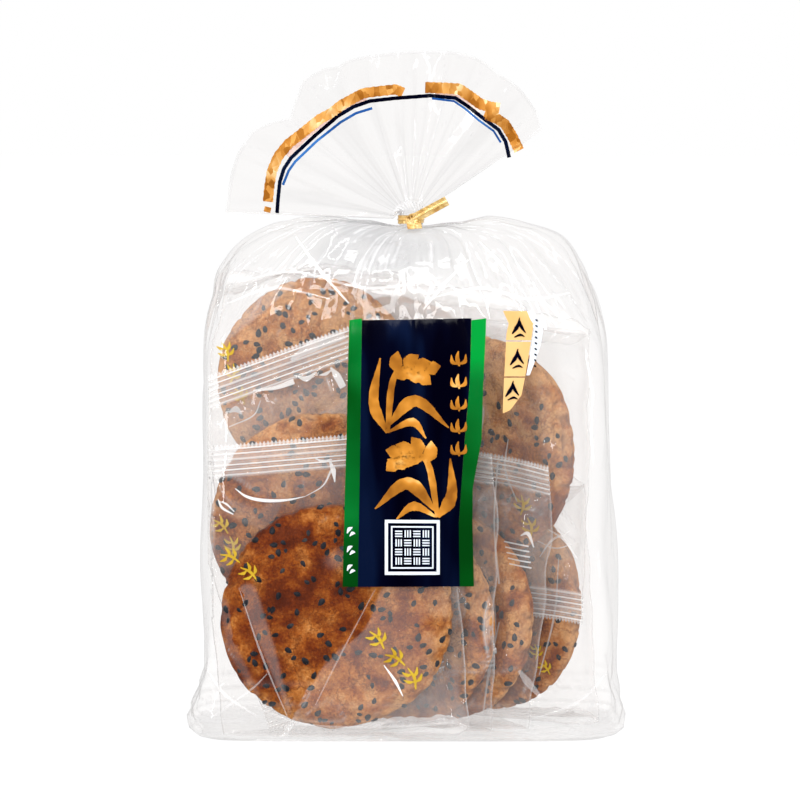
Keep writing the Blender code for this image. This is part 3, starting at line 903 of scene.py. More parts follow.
def make_wrapper(name, half_thickness, place, surface, settings, seed):
    top_fold, bottom_fold, slack_turn, slack_start, milk, veil = settings[3:]
    slack = (math.radians(slack_turn), slack_start * MM, milk, veil)
    rows = wrapper_rows()
    row_count = len(rows) - 1
    column_count = 2 * SHEET_COLUMNS

    def shape(u, v):
        across_row = 2.0 * np.linspace(0.0, 1.0, SHEET_COLUMNS + 1) - 1.0
        across, along = np.meshgrid(across_row, rows)
        tube_half = tube_half_widths(across, along, seed)
        net = np.zeros((row_count + 1, column_count + 1, 3))
        haze = np.zeros((row_count + 1, column_count + 1))
        for side, columns, flip in ((1.0, slice(0, SHEET_COLUMNS + 1), 1), (-1.0, slice(SHEET_COLUMNS, None), -1)):
            x, height, sheet_haze = wrapper_sheet(
                side, across, along, tube_half, surface, half_thickness * MM, slack, seed + 10.0 * side
            )
            net[:, columns, 0] = x[:, ::flip]
            net[:, columns, 1] = along[:, ::flip]
            net[:, columns, 2] = side * height[:, ::flip]
            haze[:, columns] = sheet_haze[:, ::flip]
            if side > 0.0 and name in SOFT_FOLDS:
                seen_x, seen_z = flat_place(x, along, name, settings)
                haze[:, columns] = np.maximum(haze[:, columns], fold_cover(seen_x, seen_z, SOFT_FOLDS[name]))
        crimp_share = (np.abs(net[:, :, 1]) - (WRAPPER_REACH - CRIMP_HEIGHT)) / CRIMP_HEIGHT
        pressed = smooth_step(crimp_share, 0.0, 0.03)
        ridge = np.sin(math.tau * CRIMP_RIDGES * (0.93 * crimp_share + 0.02))
        net[:, :, 2] = net[:, :, 2] * (1.0 - pressed) + pressed * 0.00032 * ridge
        net[:, :SHEET_COLUMNS, 2] += 0.00008 * pressed[:, :SHEET_COLUMNS]
        # painted highlight: the crests of the crimp ridges are made milky white, standing in for the light they mirror
        haze = haze * (1.0 - 0.5 * pressed) + pressed * (0.03 + 0.52 * np.clip(ridge, 0.0, 1.0) ** 3)
        tooth = TOOTH_HEIGHT * (np.arange(column_count + 1) % 2)
        for end, sign in ((0, -1.0), (-1, 1.0)):
            net[end, :, 1] += sign * tooth
        flat = net.reshape(-1, 3)
        wave_spots = flat * np.array([1.0, 0.0, 0.0]) + np.array([0.0, 0.0, 0.5])
        wave = noise_at(wave_spots + np.sign(flat[:, 1:2]), 0.030, seed + 7)
        flat[:, 2] += 0.0032 * wave * smooth_step(np.abs(flat[:, 1]), 0.046, 0.066)
        haze = haze.ravel()
        if top_fold > 50.0:
            beyond = smooth_step(flat[:, 1], 0.040, 0.048)
            haze = haze * (1.0 - 0.85 * beyond) - 0.12 * beyond
        flat = fold_ends(flat, 0.0435 if top_fold > 50.0 else 0.0462, top_fold)
        flat = fold_ends(flat, -0.0455, bottom_fold)
        matrix = np.array(place)
        world = flat @ matrix[:3, :3].T + matrix[:3, 3]
        return keep_inside(world, 0.0012, 0.0017), haze

    piece = film_grid("wrapper_" + name, column_count, row_count, shape, 0.25, 0.00036)
    merge_close_points(piece)
    shade_smooth(piece)
    return piece


# %% Make the wrappers
wrapper_film = film_material(
    "wrapper_film", (0.99, 0.987, 0.985), (0.70, 0.69, 0.69), (0.84, 0.84, 0.84), 0.07, 42.0, 0.0007, 0.35
)
wrappers = []
wrapper_seed = 3.0
for cracker, (name, middle, half_sizes, half_thickness, turn, lean, *_) in zip(crackers, CRACKERS):
    settings = WRAPPERS[name]
    place = standing_place(middle, turn, lean, settings[0]) @ Matrix.Translation((settings[1] * MM, settings[2] * MM, 0.0))
    back = np.array(place.inverted())
    dough_points = points_of(cracker) @ back[:3, :3].T + back[:3, 3]
    surface = BVHTree.FromPolygons(
        dough_points.tolist(), [tuple(face.vertices) for face in cracker.data.polygons]
    )
    piece = make_wrapper(name, half_thickness, place, surface, settings, wrapper_seed)
    piece.data.materials.append(wrapper_film)
    wrappers.append(piece)
    wrapper_seed += 37.0
print(len(wrappers), "wrappers of", len(wrappers[0].data.polygons), "faces")

# %% [markdown]
# ## The bag itself
# The bag is a single closed sheet: the base, four walls, a roof that gathers in pleats, the
# tight neck, and the flattened mouth above it, which fans out in sharp zigzag folds. One
# tall grid is wrapped round all of it, a row for each height. The folds of the roof follow
# the film's threads, so they run along the grid's columns and meet at the neck by themselves.

# %% Mouth of the bag
TIE_HEIGHT = 0.1952
NECK_RADIUS = 0.0043
FAN_ROOT = 0.0068
FAN_ROOT_HALF_THICKNESS = 0.0036
FAN_RIM_HALF_THICKNESS = 0.0018

# direction of the rim's corners from the neck in degrees, and their distance in mm
RIM_CORNERS = [
    (34.0, 60.7), (41.0, 63.5), (51.0, 65.1), (60.0, 65.0), (66.0, 66.6), (74.0, 66.4),
    (84.0, 64.6), (96.0, 64.1), (104.0, 64.5), (112.0, 65.4), (115.5, 64.6), (120.0, 66.6),
    (128.0, 67.3), (132.0, 64.6), (140.0, 60.2), (145.0, 64.8), (151.0, 69.6), (160.0, 71.0),
    (170.0, 71.0), (178.0, 71.0),
]
# direction of the sharp folds, and how far each stands back from the middle in mm
FAN_FOLDS = [
    (34.0, 0.0), (42.0, 2.6), (55.0, -2.6), (66.0, 1.0), (77.0, -3.0), (83.0, 0.6), (89.0, 2.4),
    (110.0, -2.8), (119.0, -0.6), (128.0, 3.0), (143.0, 0.2), (157.0, -2.6), (168.0, 0.8), (178.0, 0.0),
]


def fan_place(outward, direction, side):
    """Points of the mouth; outward runs 0 to 1 from neck to rim, direction is in degrees."""
    corners = np.array(RIM_CORNERS)
    folds = np.array(FAN_FOLDS)
    rim = np.interp(direction, corners[:, 0], corners[:, 1] * MM)
    radius = FAN_ROOT + outward * (rim - FAN_ROOT)
    spread = radius / 0.066
    first, last = folds[0, 0], folds[-1, 0]
    share = np.clip((direction - first) / (last - first), 0.0, 1.0)
    edge = np.sin(math.pi * share) ** 0.25
    thick = FAN_ROOT_HALF_THICKNESS + outward * (FAN_RIM_HALF_THICKNESS - FAN_ROOT_HALF_THICKNESS)
    wander = 3.0 * np.sin(5.0 * outward + direction / 15.0) * edge
    pleat = np.interp(direction + wander, folds[:, 0], folds[:, 1] * MM) * spread ** 0.8
    gathers = np.abs(((direction + 2.0 * wander) / 8.5) % 2.0 - 1.0) - 0.5
    pleat = pleat + 0.0014 * gathers * np.sin(math.pi * min(outward * 1.6, 1.0)) * edge
    angle = np.radians(direction)
    x = radius * np.cos(angle)
    z = TIE_HEIGHT + radius * np.sin(angle)
    return np.stack([x, side * thick * edge + pleat, z], axis=-1)


# %% Rows and columns of the bag
BAG_COLUMNS = 336
BASE_ROWS = 8
FLARE_ROWS = 16
WALL_ROWS_OF_FILM = 58
ROOF_ROWS = 66
NECK_ROWS = 4
FAN_ROWS = 42
SECTION_STEPS = 720
BASE_SECTION, WALL_SECTION, EAVE_SECTION = 0, 4, 7
NECK_SECTION = len(BAG_SECTIONS) - 1


def even_section(half_width, half_depth, squareness, shares):
    """Points and outward directions of one section, from the left middle round by the front."""
    turn = math.pi + np.linspace(0.0, math.tau, SECTION_STEPS + 1)
    cos, sin = np.cos(turn), np.sin(turn)
    x = half_width * np.sign(cos) * np.abs(cos) ** (2.0 / squareness)
    y = half_depth * np.sign(sin) * np.abs(sin) ** (2.0 / squareness)
    travelled = np.concatenate(([0.0], np.cumsum(np.hypot(np.diff(x), np.diff(y)))))
    travelled /= travelled[-1]
    x, y = np.interp(shares, travelled, x), np.interp(shares, travelled, y)
    out_x = np.sign(x) * np.abs(x / half_width) ** (squareness - 1.0) / half_width
    out_y = np.sign(y) * np.abs(y / half_depth) ** (squareness - 1.0) / half_depth
    length = np.maximum(np.hypot(out_x, out_y), 1e-9)
    return x, y, out_x / length, out_y / length


def section_rows():
    """Section numbers of the rows from the base's edge to the neck."""
    flare = np.linspace(BASE_SECTION, WALL_SECTION, FLARE_ROWS + 1)
    wall = np.linspace(WALL_SECTION, EAVE_SECTION, WALL_ROWS_OF_FILM + 1)
    roof = np.linspace(EAVE_SECTION, NECK_SECTION, ROOF_ROWS + 1)
    return np.concatenate((flare, wall[1:], roof[1:]))


def section_sizes():
    """The sizes of each row's section, with the corners between the given ones rounded off."""
    numbers = np.arange(len(BAG_SECTIONS))
    rows = section_rows()
    sizes = np.stack([np.interp(rows, numbers, column) for column in BAG_SECTIONS.T], axis=1)
    softened = sizes.copy()
    for _ in range(10):
        softened[1:-1] = (softened[:-2] + 2.0 * softened[1:-1] + softened[2:]) / 4.0
    share = smooth_step(rows, WALL_SECTION + 0.5, WALL_SECTION + 2.0)
    share *= smooth_step(rows, NECK_SECTION - 1.0, NECK_SECTION - 4.0)
    return sizes + share[:, None] * (softened - sizes)


def film_swell(points, turn, gather, height):
    """How far the film stands out from its plain section at each point."""
    base = smooth_step(height, 0.032, 0.006)
    round_spot = np.stack([np.cos(turn), np.sin(turn), 2.0 * height / RIDGE_HEIGHT], axis=-1)
    swell = 0.0007 * np.sin(3.0 * turn + 46.0 * height) + 0.0006 * np.sin(5.0 * turn - 71.0 * height + 1.3)
    swell *= np.clip((height - 0.012) / 0.03, 0.0, 1.0)
    slack = creases(points, 0.036, 2.0)
    small = creases(points, 0.015, 4.0)
    threads = creases(points * np.array([1.0, 1.0, 0.05]), 0.011, 6.0)
    swell += 0.0006 * slack + 0.00012 * threads
    swell += base * (0.0026 * (slack - 0.5) + 0.0014 * (small - 0.5))
    pleats = creases(round_spot * np.array([1.0, 1.0, 0.22]), 0.10, 8.0)
    wide_pleats = creases(round_spot * np.array([1.0, 1.0, 0.30]), 0.26, 9.0)
    depth = gather * (1.12 - gather) * 4.0
    swell += depth * (0.0011 * (pleats - 0.45) + 0.0024 * (wide_pleats - 0.45))
    swell += gather * (0.0013 * (small - 0.4) + 0.0018 * (slack - 0.5))
    return swell


def bag_shape(u, v):
    """Every point of the film and its haze; u runs round the bag and v up it."""
    turn = math.pi + math.tau * np.linspace(0.0, 1.0, BAG_COLUMNS + 1)
    shares = np.linspace(0.0, 1.0, BAG_COLUMNS + 1)
    rows = []
    hazes = []
    foot = BAG_SECTIONS[0] * np.array([MM, MM, MM, 1.0, MM, MM])
    x, y, _, _ = even_section(foot[1], foot[2], foot[3], shares)
    for scale in np.linspace(0.0, 1.0, BASE_ROWS + 1)[:-1]:
        rows.append(np.stack([x * scale + foot[4], y * scale, np.zeros_like(x)], axis=-1))
        hazes.append(np.full_like(x, 0.03))
    for place, sizes in zip(section_rows(), section_sizes()):
        height, half_width, half_depth, squareness, lean, lift = sizes
        x, y, out_x, out_y = even_section(half_width * MM, half_depth * MM, squareness, shares)
        tall = height * MM
        gather = float(np.clip((tall - EAVE_HEIGHT) / (RIDGE_HEIGHT - EAVE_HEIGHT), 0.0, 1.0))
        spots = np.stack([x, y, np.full_like(x, tall)], axis=-1)
        at_foot = 1.0 if place > 0.0 else 0.0
        at_neck = smooth_step(np.full_like(x, place), NECK_SECTION, NECK_SECTION - 1.5)
        swell = film_swell(spots, turn, gather, np.full_like(x, tall)) * at_foot * at_neck
        shoulder = lift * MM * np.abs(x / (half_width * MM)) ** 1.5
        steep = smooth_step(np.array([gather]), 0.55, 1.0)[0]
        inside = np.minimum(swell, 0.0) + np.maximum(swell, 0.0) * (1.0 - 0.5 * steep)
        row = np.stack([
            x + out_x * inside * (1.0 - steep) + lean * MM,
            y + out_y * inside * (1.0 - 0.6 * steep),
            tall + shoulder + steep * 0.8 * swell,
        ], axis=-1)
        rows.append(row)
        doubled = smooth_step(row[:, 2], 0.172, 0.180) * np.exp(-((x + 0.008) / 0.026) ** 4) * (y < 0.0)
        doubled *= 0.75 + 0.40 * noise_at(spots * np.array([1.0, 1.0, 2.0]), 0.014, 16.0)
        hazes.append(0.006 + 0.03 * gather + 0.70 * doubled)
    circle_x, circle_y = NECK_RADIUS * np.cos(turn), NECK_RADIUS * np.sin(turn)
    for share in np.linspace(0.0, 1.0, NECK_ROWS + 1)[1:]:
        tall = RIDGE_HEIGHT + share * (TIE_HEIGHT + 0.0035 - RIDGE_HEIGHT)
        groove = 1.0 - 0.12 * np.cos(24.0 * turn)
        rows.append(np.stack([circle_x * groove, circle_y * groove, np.full_like(turn, tall)], axis=-1))
        hazes.append(np.full_like(turn, 0.10))
    front = shares <= 0.5
    along = np.where(front, shares * 2.0, 2.0 - shares * 2.0)
    direction = 178.0 + along * (34.0 - 178.0)
    side = np.where(front, -1.0, 1.0)
    for outward in np.linspace(0.0, 1.0, FAN_ROWS + 1):
        row = fan_place(outward, direction, side)
        rough = creases(row, 0.013, 12.0) - 0.5
        row[:, 1] += 0.0013 * rough * outward ** 0.5 * np.sin(math.pi * along) ** 0.3
        rows.append(row)
        # painted light: thin radial streaks of milk along the fan's pleats stand in for the glints and grey reflections
        # the pleats catch
        ray_spots = np.stack([direction * 0.01, 0.5 * side, np.full_like(turn, 0.06 * outward)], axis=-1)
        painted_pleat_streaks = np.clip(1.0 - 2.4 * creases(ray_spots, 0.085, 14.0), 0.0, 1.0)
        hazes.append(0.008 + 0.04 * (1.0 - outward) ** 2 + 0.16 * painted_pleat_streaks * (1.0 - 0.8 * outward))
    rim = rows[-1].copy()
    rim[:, 1] = (rim[:, 1] + rim[::-1, 1]) / 2.0
    rows.append(rim)
    hazes.append(np.full_like(turn, 0.03))
    return np.concatenate(rows), np.concatenate(hazes)


# %% Make the bag
bag_rows = BASE_ROWS + FLARE_ROWS + WALL_ROWS_OF_FILM + ROOF_ROWS + NECK_ROWS + FAN_ROWS + 2
bag_film = film_grid("bag_film", BAG_COLUMNS, bag_rows, bag_shape, 0.22, 0.00060)
merge_close_points(bag_film)
shade_smooth(bag_film, 60.0)
clear_film = film_material(
    "clear_film", (0.997, 0.990, 0.986), (0.28, 0.28, 0.285), (0.66, 0.66, 0.67), 0.06, 30.0, 0.0006, 0.6
)
bag_film.data.materials.append(clear_film)
bag_tree = BVHTree.FromObject(bag_film, bpy.context.evaluated_depsgraph_get())
print("bag film", len(bag_film.data.polygons), "faces")

# %% [markdown]
# ## Ink on the film
# The print is ink on the outside of the film: a navy and green panel with gold brush work, a
# gold strip at the side, and a gold and a navy band that run round the open mouth. Each
# patch of ink is a thin grid of its own. A ray from the front finds the film behind every
# point, and the point then sits a hair in front of it, so the ink bends with each fold.

# %% Laying ink
INK_LIFT = 0.00022


def on_film(x, z, lift=INK_LIFT, tree=bag_tree):
    """Points just in front of the bag's front film, or another, at these places from the front."""
    depth = np.full(len(x), np.nan)
    for index, (here_x, here_z) in enumerate(zip(x, z)):
        hit = tree.ray_cast(Vector((here_x, -0.2, here_z)), Vector((0.0, 1.0, 0.0)))[0]
        if hit is not None:
            depth[index] = hit.y
    found = np.flatnonzero(~np.isnan(depth))
    depth = np.interp(np.arange(len(x)), found, depth[found])
    return np.stack([x, depth - lift, z], axis=-1)


def smooth_line(corners, steps, straight=False):
    """Evenly numbered points along a curve, or along straight runs, through a few corners."""
    corners = np.array(corners, dtype=float)
    place = np.linspace(0.0, len(corners) - 1.0, steps + 1)
    if straight:
        numbers = np.arange(len(corners))
        return np.stack([np.interp(place, numbers, column) for column in corners.T], axis=1)
    padded = np.concatenate((2 * corners[:1] - corners[1:2], corners, 2 * corners[-1:] - corners[-2:-1]))
    first = np.minimum(place.astype(int), len(corners) - 2)
    t = (place - first)[:, None]
    a, b, c, d = (padded[first + offset] for offset in range(4))
    return 0.5 * (2 * b + (c - a) * t + (2 * a - 5 * b + 4 * c - d) * t ** 2 + (3 * b - a - 3 * c + d) * t ** 3)


def brush_stroke(name, corners, widths, lay, steps=26, straight=False, ragged=0.0):
    """A ribbon along a line, in mm, whose width changes as a brush's does."""
    line = smooth_line(corners, steps, straight) * MM
    ahead = np.gradient(line, axis=0)
    ahead /= np.maximum(np.linalg.norm(ahead, axis=1, keepdims=True), 1e-9)
    across = np.stack([-ahead[:, 1], ahead[:, 0]], axis=1)
    place = np.linspace(0.0, 1.0, len(widths))
    half = np.interp(np.linspace(0.0, 1.0, steps + 1), place, widths) * MM / 2.0

    def shape(u, v):
        step = np.round(u * steps).astype(int)
        side = 2.0 * v - 1.0
        rough = 1.0 + ragged * np.sin(step * 2.3 + 5.0 * v) * np.abs(side)
        flat = line[step] + across[step] * (side * half[step] * rough)[:, None]
        return lay(flat[:, 0], flat[:, 1])

    return shaped_grid(name, steps, 4, shape)


# %% Ink materials
def ink_material(name, stops, scale, roughness, metallic=0.0, stretch=(1.0, 1.0, 1.0), rise=0.0, facet_shading=0.0):
    """Glossy ink with painted sheen and shade: its colour drifts slowly as light on a bent sheet does, grows lighter
    upwards with rise, and with facets changes from facet to facet.
    """
    material, tree = new_material(name)
    spot = add_node(tree, "ShaderNodeTexCoord").outputs["Object"]
    height = add_node(tree, "ShaderNodeSeparateXYZ", i0=spot).outputs["Z"]
    spot = add_node(tree, "ShaderNodeMapping", Vector=spot, Scale=stretch).outputs[0]
    # painted sheen and shade: slow noise moves the ink between darker and lighter colours, as light on a bent sheet
    # would
    painted_sheen_and_shade = noise_node(tree, spot, scale, 2.0, 0.45)
    # painted light: with rise the ink grows lighter upwards, as if lit more from above
    upward = math_node(tree, "MULTIPLY", math_node(tree, "SUBTRACT", height, 0.11), 20.0 * rise)
    painted_sheen_and_shade = math_node(tree, "ADD", painted_sheen_and_shade, upward)
    # painted sheen: with facets each facet takes its own lighter or darker colour, as facets catching light do
    if facet_shading:
        facet_shade = add_node(tree, "ShaderNodeTexVoronoi", Vector=spot, Scale=facet_shading).outputs["Color"]
        facet_shade = math_node(tree, "MULTIPLY", math_node(tree, "SUBTRACT", facet_shade, 0.5), 0.30)
        painted_sheen_and_shade = math_node(tree, "ADD", painted_sheen_and_shade, facet_shade)
    ink = colour_ramp(tree, painted_sheen_and_shade, stops)
    fine = noise_node(tree, spot, 900.0, 3.0)
    bump = add_node(tree, "ShaderNodeBump", Strength=0.15, Distance=0.0002, Height=fine)
    shader = add_node(tree, "ShaderNodeBsdfPrincipled", Base_Color=ink, Normal=bump.outputs["Normal"])
    shader.inputs["Roughness"].default_value = roughness
    shader.inputs["Metallic"].default_value = metallic
    shader.inputs["Specular IOR Level"].default_value = 0.03
    finish_material(tree, shader.outputs[0])
    return material


navy_ink = ink_material(
    "navy_ink", [(0.42, (0.0002, 0.0001, 0.003)), (0.56, (0.0003, 0.0007, 0.006)), (0.68, (0.0015, 0.0045, 0.020))],
    34.0, 0.12, 0.0, (2.2, 1.0, 0.35),
)
green_ink = ink_material(
    "green_ink", [(0.30, (0.0005, 0.035, 0.003)), (0.46, (0.0006, 0.056, 0.005)), (0.62, (0.001, 0.125, 0.018)), (0.75, (0.001, 0.22, 0.028))],
    22.0, 0.16, 0.0, (1.0, 1.0, 1.0), 0.16,
)
gold_ink = ink_material(
    "gold_ink", [(0.36, (0.22, 0.075, 0.008)), (0.50, (0.38, 0.145, 0.016)), (0.60, (0.52, 0.21, 0.028)), (0.70, (0.70, 0.40, 0.12))],
    110.0, 0.26,
)
pale_gold_ink = ink_material("pale_gold_ink", [(0.35, (0.58, 0.34, 0.125)), (0.65, (0.66, 0.41, 0.17))], 60.0, 0.25)
band_gold_ink = ink_material(
    "band_gold_ink", [(0.34, (0.24, 0.080, 0.008)), (0.46, (0.42, 0.17, 0.030)), (0.58, (0.56, 0.28, 0.075)), (0.70, (0.80, 0.62, 0.34))],
    95.0, 0.2, 0.0, (1.0, 1.0, 0.6), 0.0, 520.0,
)
white_ink = ink_material("white_ink", [(0.4, (0.58, 0.62, 0.68)), (0.6, (0.62, 0.66, 0.72))], 50.0, 0.25)
rose_ink = ink_material("rose_ink", [(0.4, (0.50, 0.34, 0.30)), (0.6, (0.66, 0.52, 0.48))], 120.0, 0.3)
blue_ink = ink_material("blue_ink", [(0.4, (0.010, 0.060, 0.22)), (0.6, (0.030, 0.12, 0.34))], 60.0, 0.25)
yellow_ink = ink_material("yellow_ink", [(0.4, (0.42, 0.25, 0.012)), (0.6, (0.55, 0.37, 0.03))], 80.0, 0.3)

# %% Front panel
PANEL_TOP, PANEL_FOOT = 0.1586, 0.0588
# heights of the places given below, and across the panel in mm: outer edges and edges of navy
EDGE_HEIGHTS = np.array([58.8, 82.5, 95.8, 114.0, 134.5, 158.6]) * MM
PANEL_EDGES = {
    "left": (-25.7, -25.1, -24.8, -24.2, -23.8, -23.2),
    "navy_left": (-20.0, -19.6, -19.4, -19.1, -18.8, -18.5),
    "navy_right": (18.2, 17.8, 18.7, 20.0, 21.8, 22.6),
    "right": (23.5, 22.9, 23.0, 26.3, 26.9, 28.2),
}


def panel_edge(edge, z):
    """Where an edge of the panel runs at each height; the right one is drawn in by the film."""
    return np.interp(z, EDGE_HEIGHTS, PANEL_EDGES[edge]) * MM



def panel_field(name, left, right, ink):
    def shape(u, v):
        z = PANEL_FOOT + v * (PANEL_TOP - PANEL_FOOT)
        start, end = panel_edge(left, z), panel_edge(right, z)
        x = start + u * (end - start)
        tilt = 0.0007 * (u - 0.5) * v
        return on_film(x, z + tilt)

    columns = int(PANEL_EDGES[right][0] - PANEL_EDGES[left][0]) + 2
    piece = shaped_grid(name, columns, 90, shape)
    piece.data.materials.append(ink)
    shade_smooth(piece)
    return piece


navy_panel = panel_field("navy_panel", "navy_left", "navy_right", navy_ink)
green_panel = join_pieces("green_panel", [
    panel_field("green_left", "left", "navy_left", green_ink),
    panel_field("green_right", "navy_right", "right", green_ink),
])
print("panel", round(1000 * (PANEL_TOP - PANEL_FOOT), 1), "mm tall")


# %% Gold brush work
def drawn(name, strokes, lay, ink, steps=24, ragged=0.05):
    pieces = [
        brush_stroke(name + str(index), corners, widths, lay, steps, False, ragged)
        for index, (corners, widths) in enumerate(strokes)
    ]
    piece = join_pieces(name, pieces)
    piece.data.materials.clear()
    piece.data.materials.append(ink)
    shade_smooth(piece)
    return piece


def over_panel(x, z):
    return on_film(x, z, 2.0 * INK_LIFT)


def rice_ear(base, bend, tip, grain_length, grain_width, count, leaves):
    """Brush strokes of an ear of rice: a bent stem, grains on both sides and some leaves."""
    stem = smooth_line([base, bend, tip], count * 2)
    strokes = [([base, bend, tip], [1.6, 2.6, 2.2, 1.3, 0.4])]
    for index in range(count):
        here = stem[count - 1 + index] if index < count else stem[-1]
        ahead = stem[min(count + index, len(stem) - 1)] - stem[count - 2 + index]
        turn = math.atan2(ahead[1], ahead[0]) + (0.62 if index % 2 else -0.62)
        size = 1.0 - 0.035 * index
        end = here + grain_length * size * np.array([math.cos(turn), math.sin(turn)])
        middle = (here + end) / 2.0 + 0.5 * np.array([-math.sin(turn), math.cos(turn)]) * (1 if index % 2 else -1)
        strokes.append(([tuple(here), tuple(middle), tuple(end)], [0.3, grain_width, grain_width * 0.9, 0.25]))
    return strokes + leaves


UPPER_EAR = rice_ear(
    (-9.0, 116.5), (-5.5, 139.0), (9.0, 138.5), 8.4, 5.0, 8,
    [
        ([(-9.0, 116.5), (-14.0, 128.0), (-11.6, 144.5)], [1.0, 4.2, 3.4, 0.5]),
        ([(-8.6, 119.5), (1.5, 128.5), (14.0, 118.5)], [1.0, 4.8, 3.8, 0.5]),
        ([(-8.4, 117.0), (0.5, 120.5), (5.5, 114.5)], [0.8, 3.4, 0.5]),
    ],
)
LOWER_EAR = rice_ear(
    (10.0, 85.0), (5.0, 107.0), (-9.0, 106.5), 8.4, 5.2, 8,
    [
        ([(10.0, 85.0), (15.0, 93.0), (14.6, 107.0)], [1.2, 5.0, 3.4, 0.5]),
        ([(9.0, 87.5), (-1.5, 97.5), (-13.6, 88.0)], [1.0, 5.2, 4.2, 0.5]),
        ([(9.2, 85.2), (1.0, 89.0), (-5.5, 84.2)], [0.8, 3.6, 0.5]),
    ],
)
SMALL_MARKS = []
for top in (147.0, 138.6, 130.2, 121.8, 113.4):
    SMALL_MARKS += [
        ([(18.0, top - 5.6), (17.2, top - 2.6), (17.6, top)], [0.5, 1.7, 1.3, 0.3]),
        ([(17.6, top - 4.8), (20.0, top - 3.8), (20.4, top - 1.2)], [0.5, 1.6, 0.3]),
        ([(17.6, top - 4.8), (15.4, top - 4.0), (15.0, top - 1.4)], [0.5, 1.6, 0.3]),
    ]
gold_brush_work = drawn("gold_brush_work", UPPER_EAR + LOWER_EAR + SMALL_MARKS, over_panel, gold_ink)

# %% White seal
SEAL_MIDDLE = (0.4, 73.6)
SEAL_HALF = 10.3


def seal_line(start, end, width):
    shift = np.array(SEAL_MIDDLE)
    corners = [tuple(shift + np.array(start)), tuple(shift + np.array(end))]
    return corners, [width, width]


def ring_of_lines(half, width):
    """Four lines round a square, long enough to close its corners."""
    reach = half + width / 2.0
    return [
        seal_line((-reach, half), (reach, half), width),
        seal_line((-reach, -half), (reach, -half), width),
        seal_line((-half, -reach), (-half, reach), width),
        seal_line((half, -reach), (half, reach), width),
    ]


SEAL_STROKES = ring_of_lines(SEAL_HALF - 0.6, 1.2) + ring_of_lines(7.7, 0.55)
for column in (-5.1, -1.7, 1.7, 5.1):
    for row in (-5.1, -1.7, 1.7, 5.1):
        long_way = (round((column + row) / 3.4) % 2) == 0
        for offset in (-0.95, 0.0, 0.95):
            if long_way:
                SEAL_STROKES.append(seal_line((column - 1.35, row + offset), (column + 1.35, row + offset), 0.5))
            else:
                SEAL_STROKES.append(seal_line((column + offset, row - 1.35), (column + offset, row + 1.35), 0.5))
DOTS = []
for top in (81.0, 74.0, 67.0):
    DOTS.append(([(-24.0, top - 2.2), (-23.2, top - 0.6), (-22.0, top)], [0.3, 1.4, 0.3]))
    DOTS.append(([(-23.0, top - 3.2), (-22.0, top - 2.2), (-21.0, top - 2.2)], [0.3, 1.3, 0.3]))
white_seal = drawn("white_seal", SEAL_STROKES + DOTS, over_panel, white_ink, 14, 0.0)

# %% Side strip
# left and right edges of the gold strip in mm, from the top down: height, left, right
STRIP_EDGES = [
    (161.6, 34.5, 43.3), (157.0, 36.6, 46.0), (153.4, 35.7, 45.3), (150.6, 35.5, 44.8),
    (137.2, 34.7, 42.5), (130.7, 34.4, 41.2), (125.0, 34.2, 37.0), (124.0, 34.2, 34.6),
]
STRIP_PANELS = ((161.6, 150.9), (150.4, 137.6), (137.1, 124.0))


def strip_part(name, top, foot, lay):
    edges = np.array(STRIP_EDGES)[::-1]

    def shape(u, v):
        z = foot + v * (top - foot)
        left = np.interp(z, edges[:, 0], edges[:, 1])
        right = np.interp(z, edges[:, 0], edges[:, 2])
        return lay((left + u * (right - left)) * MM, z * MM)

    return shaped_grid(name, 10, 14, shape)


gold_strip = join_pieces(
    "gold_strip", [strip_part("strip" + str(i), top, foot, on_film) for i, (top, foot) in enumerate(STRIP_PANELS)]
)
gold_strip.data.materials.append(pale_gold_ink)
shade_smooth(gold_strip)
STRIP_MARKS = []
for middle_x, middle_z in ((40.4, 155.6), (39.6, 144.2), (37.8, 132.4)):
    STRIP_MARKS += [
        ([(middle_x - 2.6, middle_z - 2.4), (middle_x - 0.4, middle_z + 0.8), (middle_x + 0.3, middle_z + 3.6)], [0.4, 1.5, 1.0, 0.3]),
        ([(middle_x + 2.4, middle_z - 1.9), (middle_x + 0.9, middle_z + 0.3), (middle_x + 0.5, middle_z + 2.4)], [0.4, 1.3, 0.3]),
        ([(middle_x - 1.8, middle_z - 3.6), (middle_x + 0.4, middle_z - 2.7), (middle_x + 2.0, middle_z - 3.3)], [0.4, 1.0, 0.3]),
    ]
strip_marks = drawn("strip_marks", STRIP_MARKS, over_panel, navy_ink, 12)

# %% White edge beside the strip
WHITE_EDGE = [(161.6, 43.6, 45.2), (155.0, 46.0, 49.4), (150.0, 45.2, 48.6), (144.0, 44.2, 46.6), (138.0, 43.0, 44.2)]


def white_edge_shape(u, v):
    edges = np.array(WHITE_EDGE)[::-1]
    z = edges[0, 0] + v * (edges[-1, 0] - edges[0, 0])
    left = np.interp(z, edges[:, 0], edges[:, 1])
    right = np.interp(z, edges[:, 0], edges[:, 2])
    return on_film((left + u * (right - left)) * MM, z * MM)


white_edge = shaped_grid("white_edge", 4, 24, white_edge_shape)
white_edge.data.materials.append(white_ink)
edge_marks = drawn(
    "edge_marks",
    [([(46.6 - 0.10 * step, 158.6 - 2.1 * step), (47.5 - 0.10 * step, 157.9 - 2.1 * step)], [0.3, 0.7, 0.3]) for step in range(9)],
    over_panel, navy_ink, 6,
)

# %% [markdown]
# ## Painted glints on folds
# Where film is folded or bent it catches the light as a sharp bright sliver: an arc under a
# crimp, a dart beside a rim, a pleat in the roof. Each one is painted as a narrow tapering
# ribbon of film laid on the sheet it belongs to, milkier than that sheet: partly the milk of
# film folded on itself and partly a painted highlight.

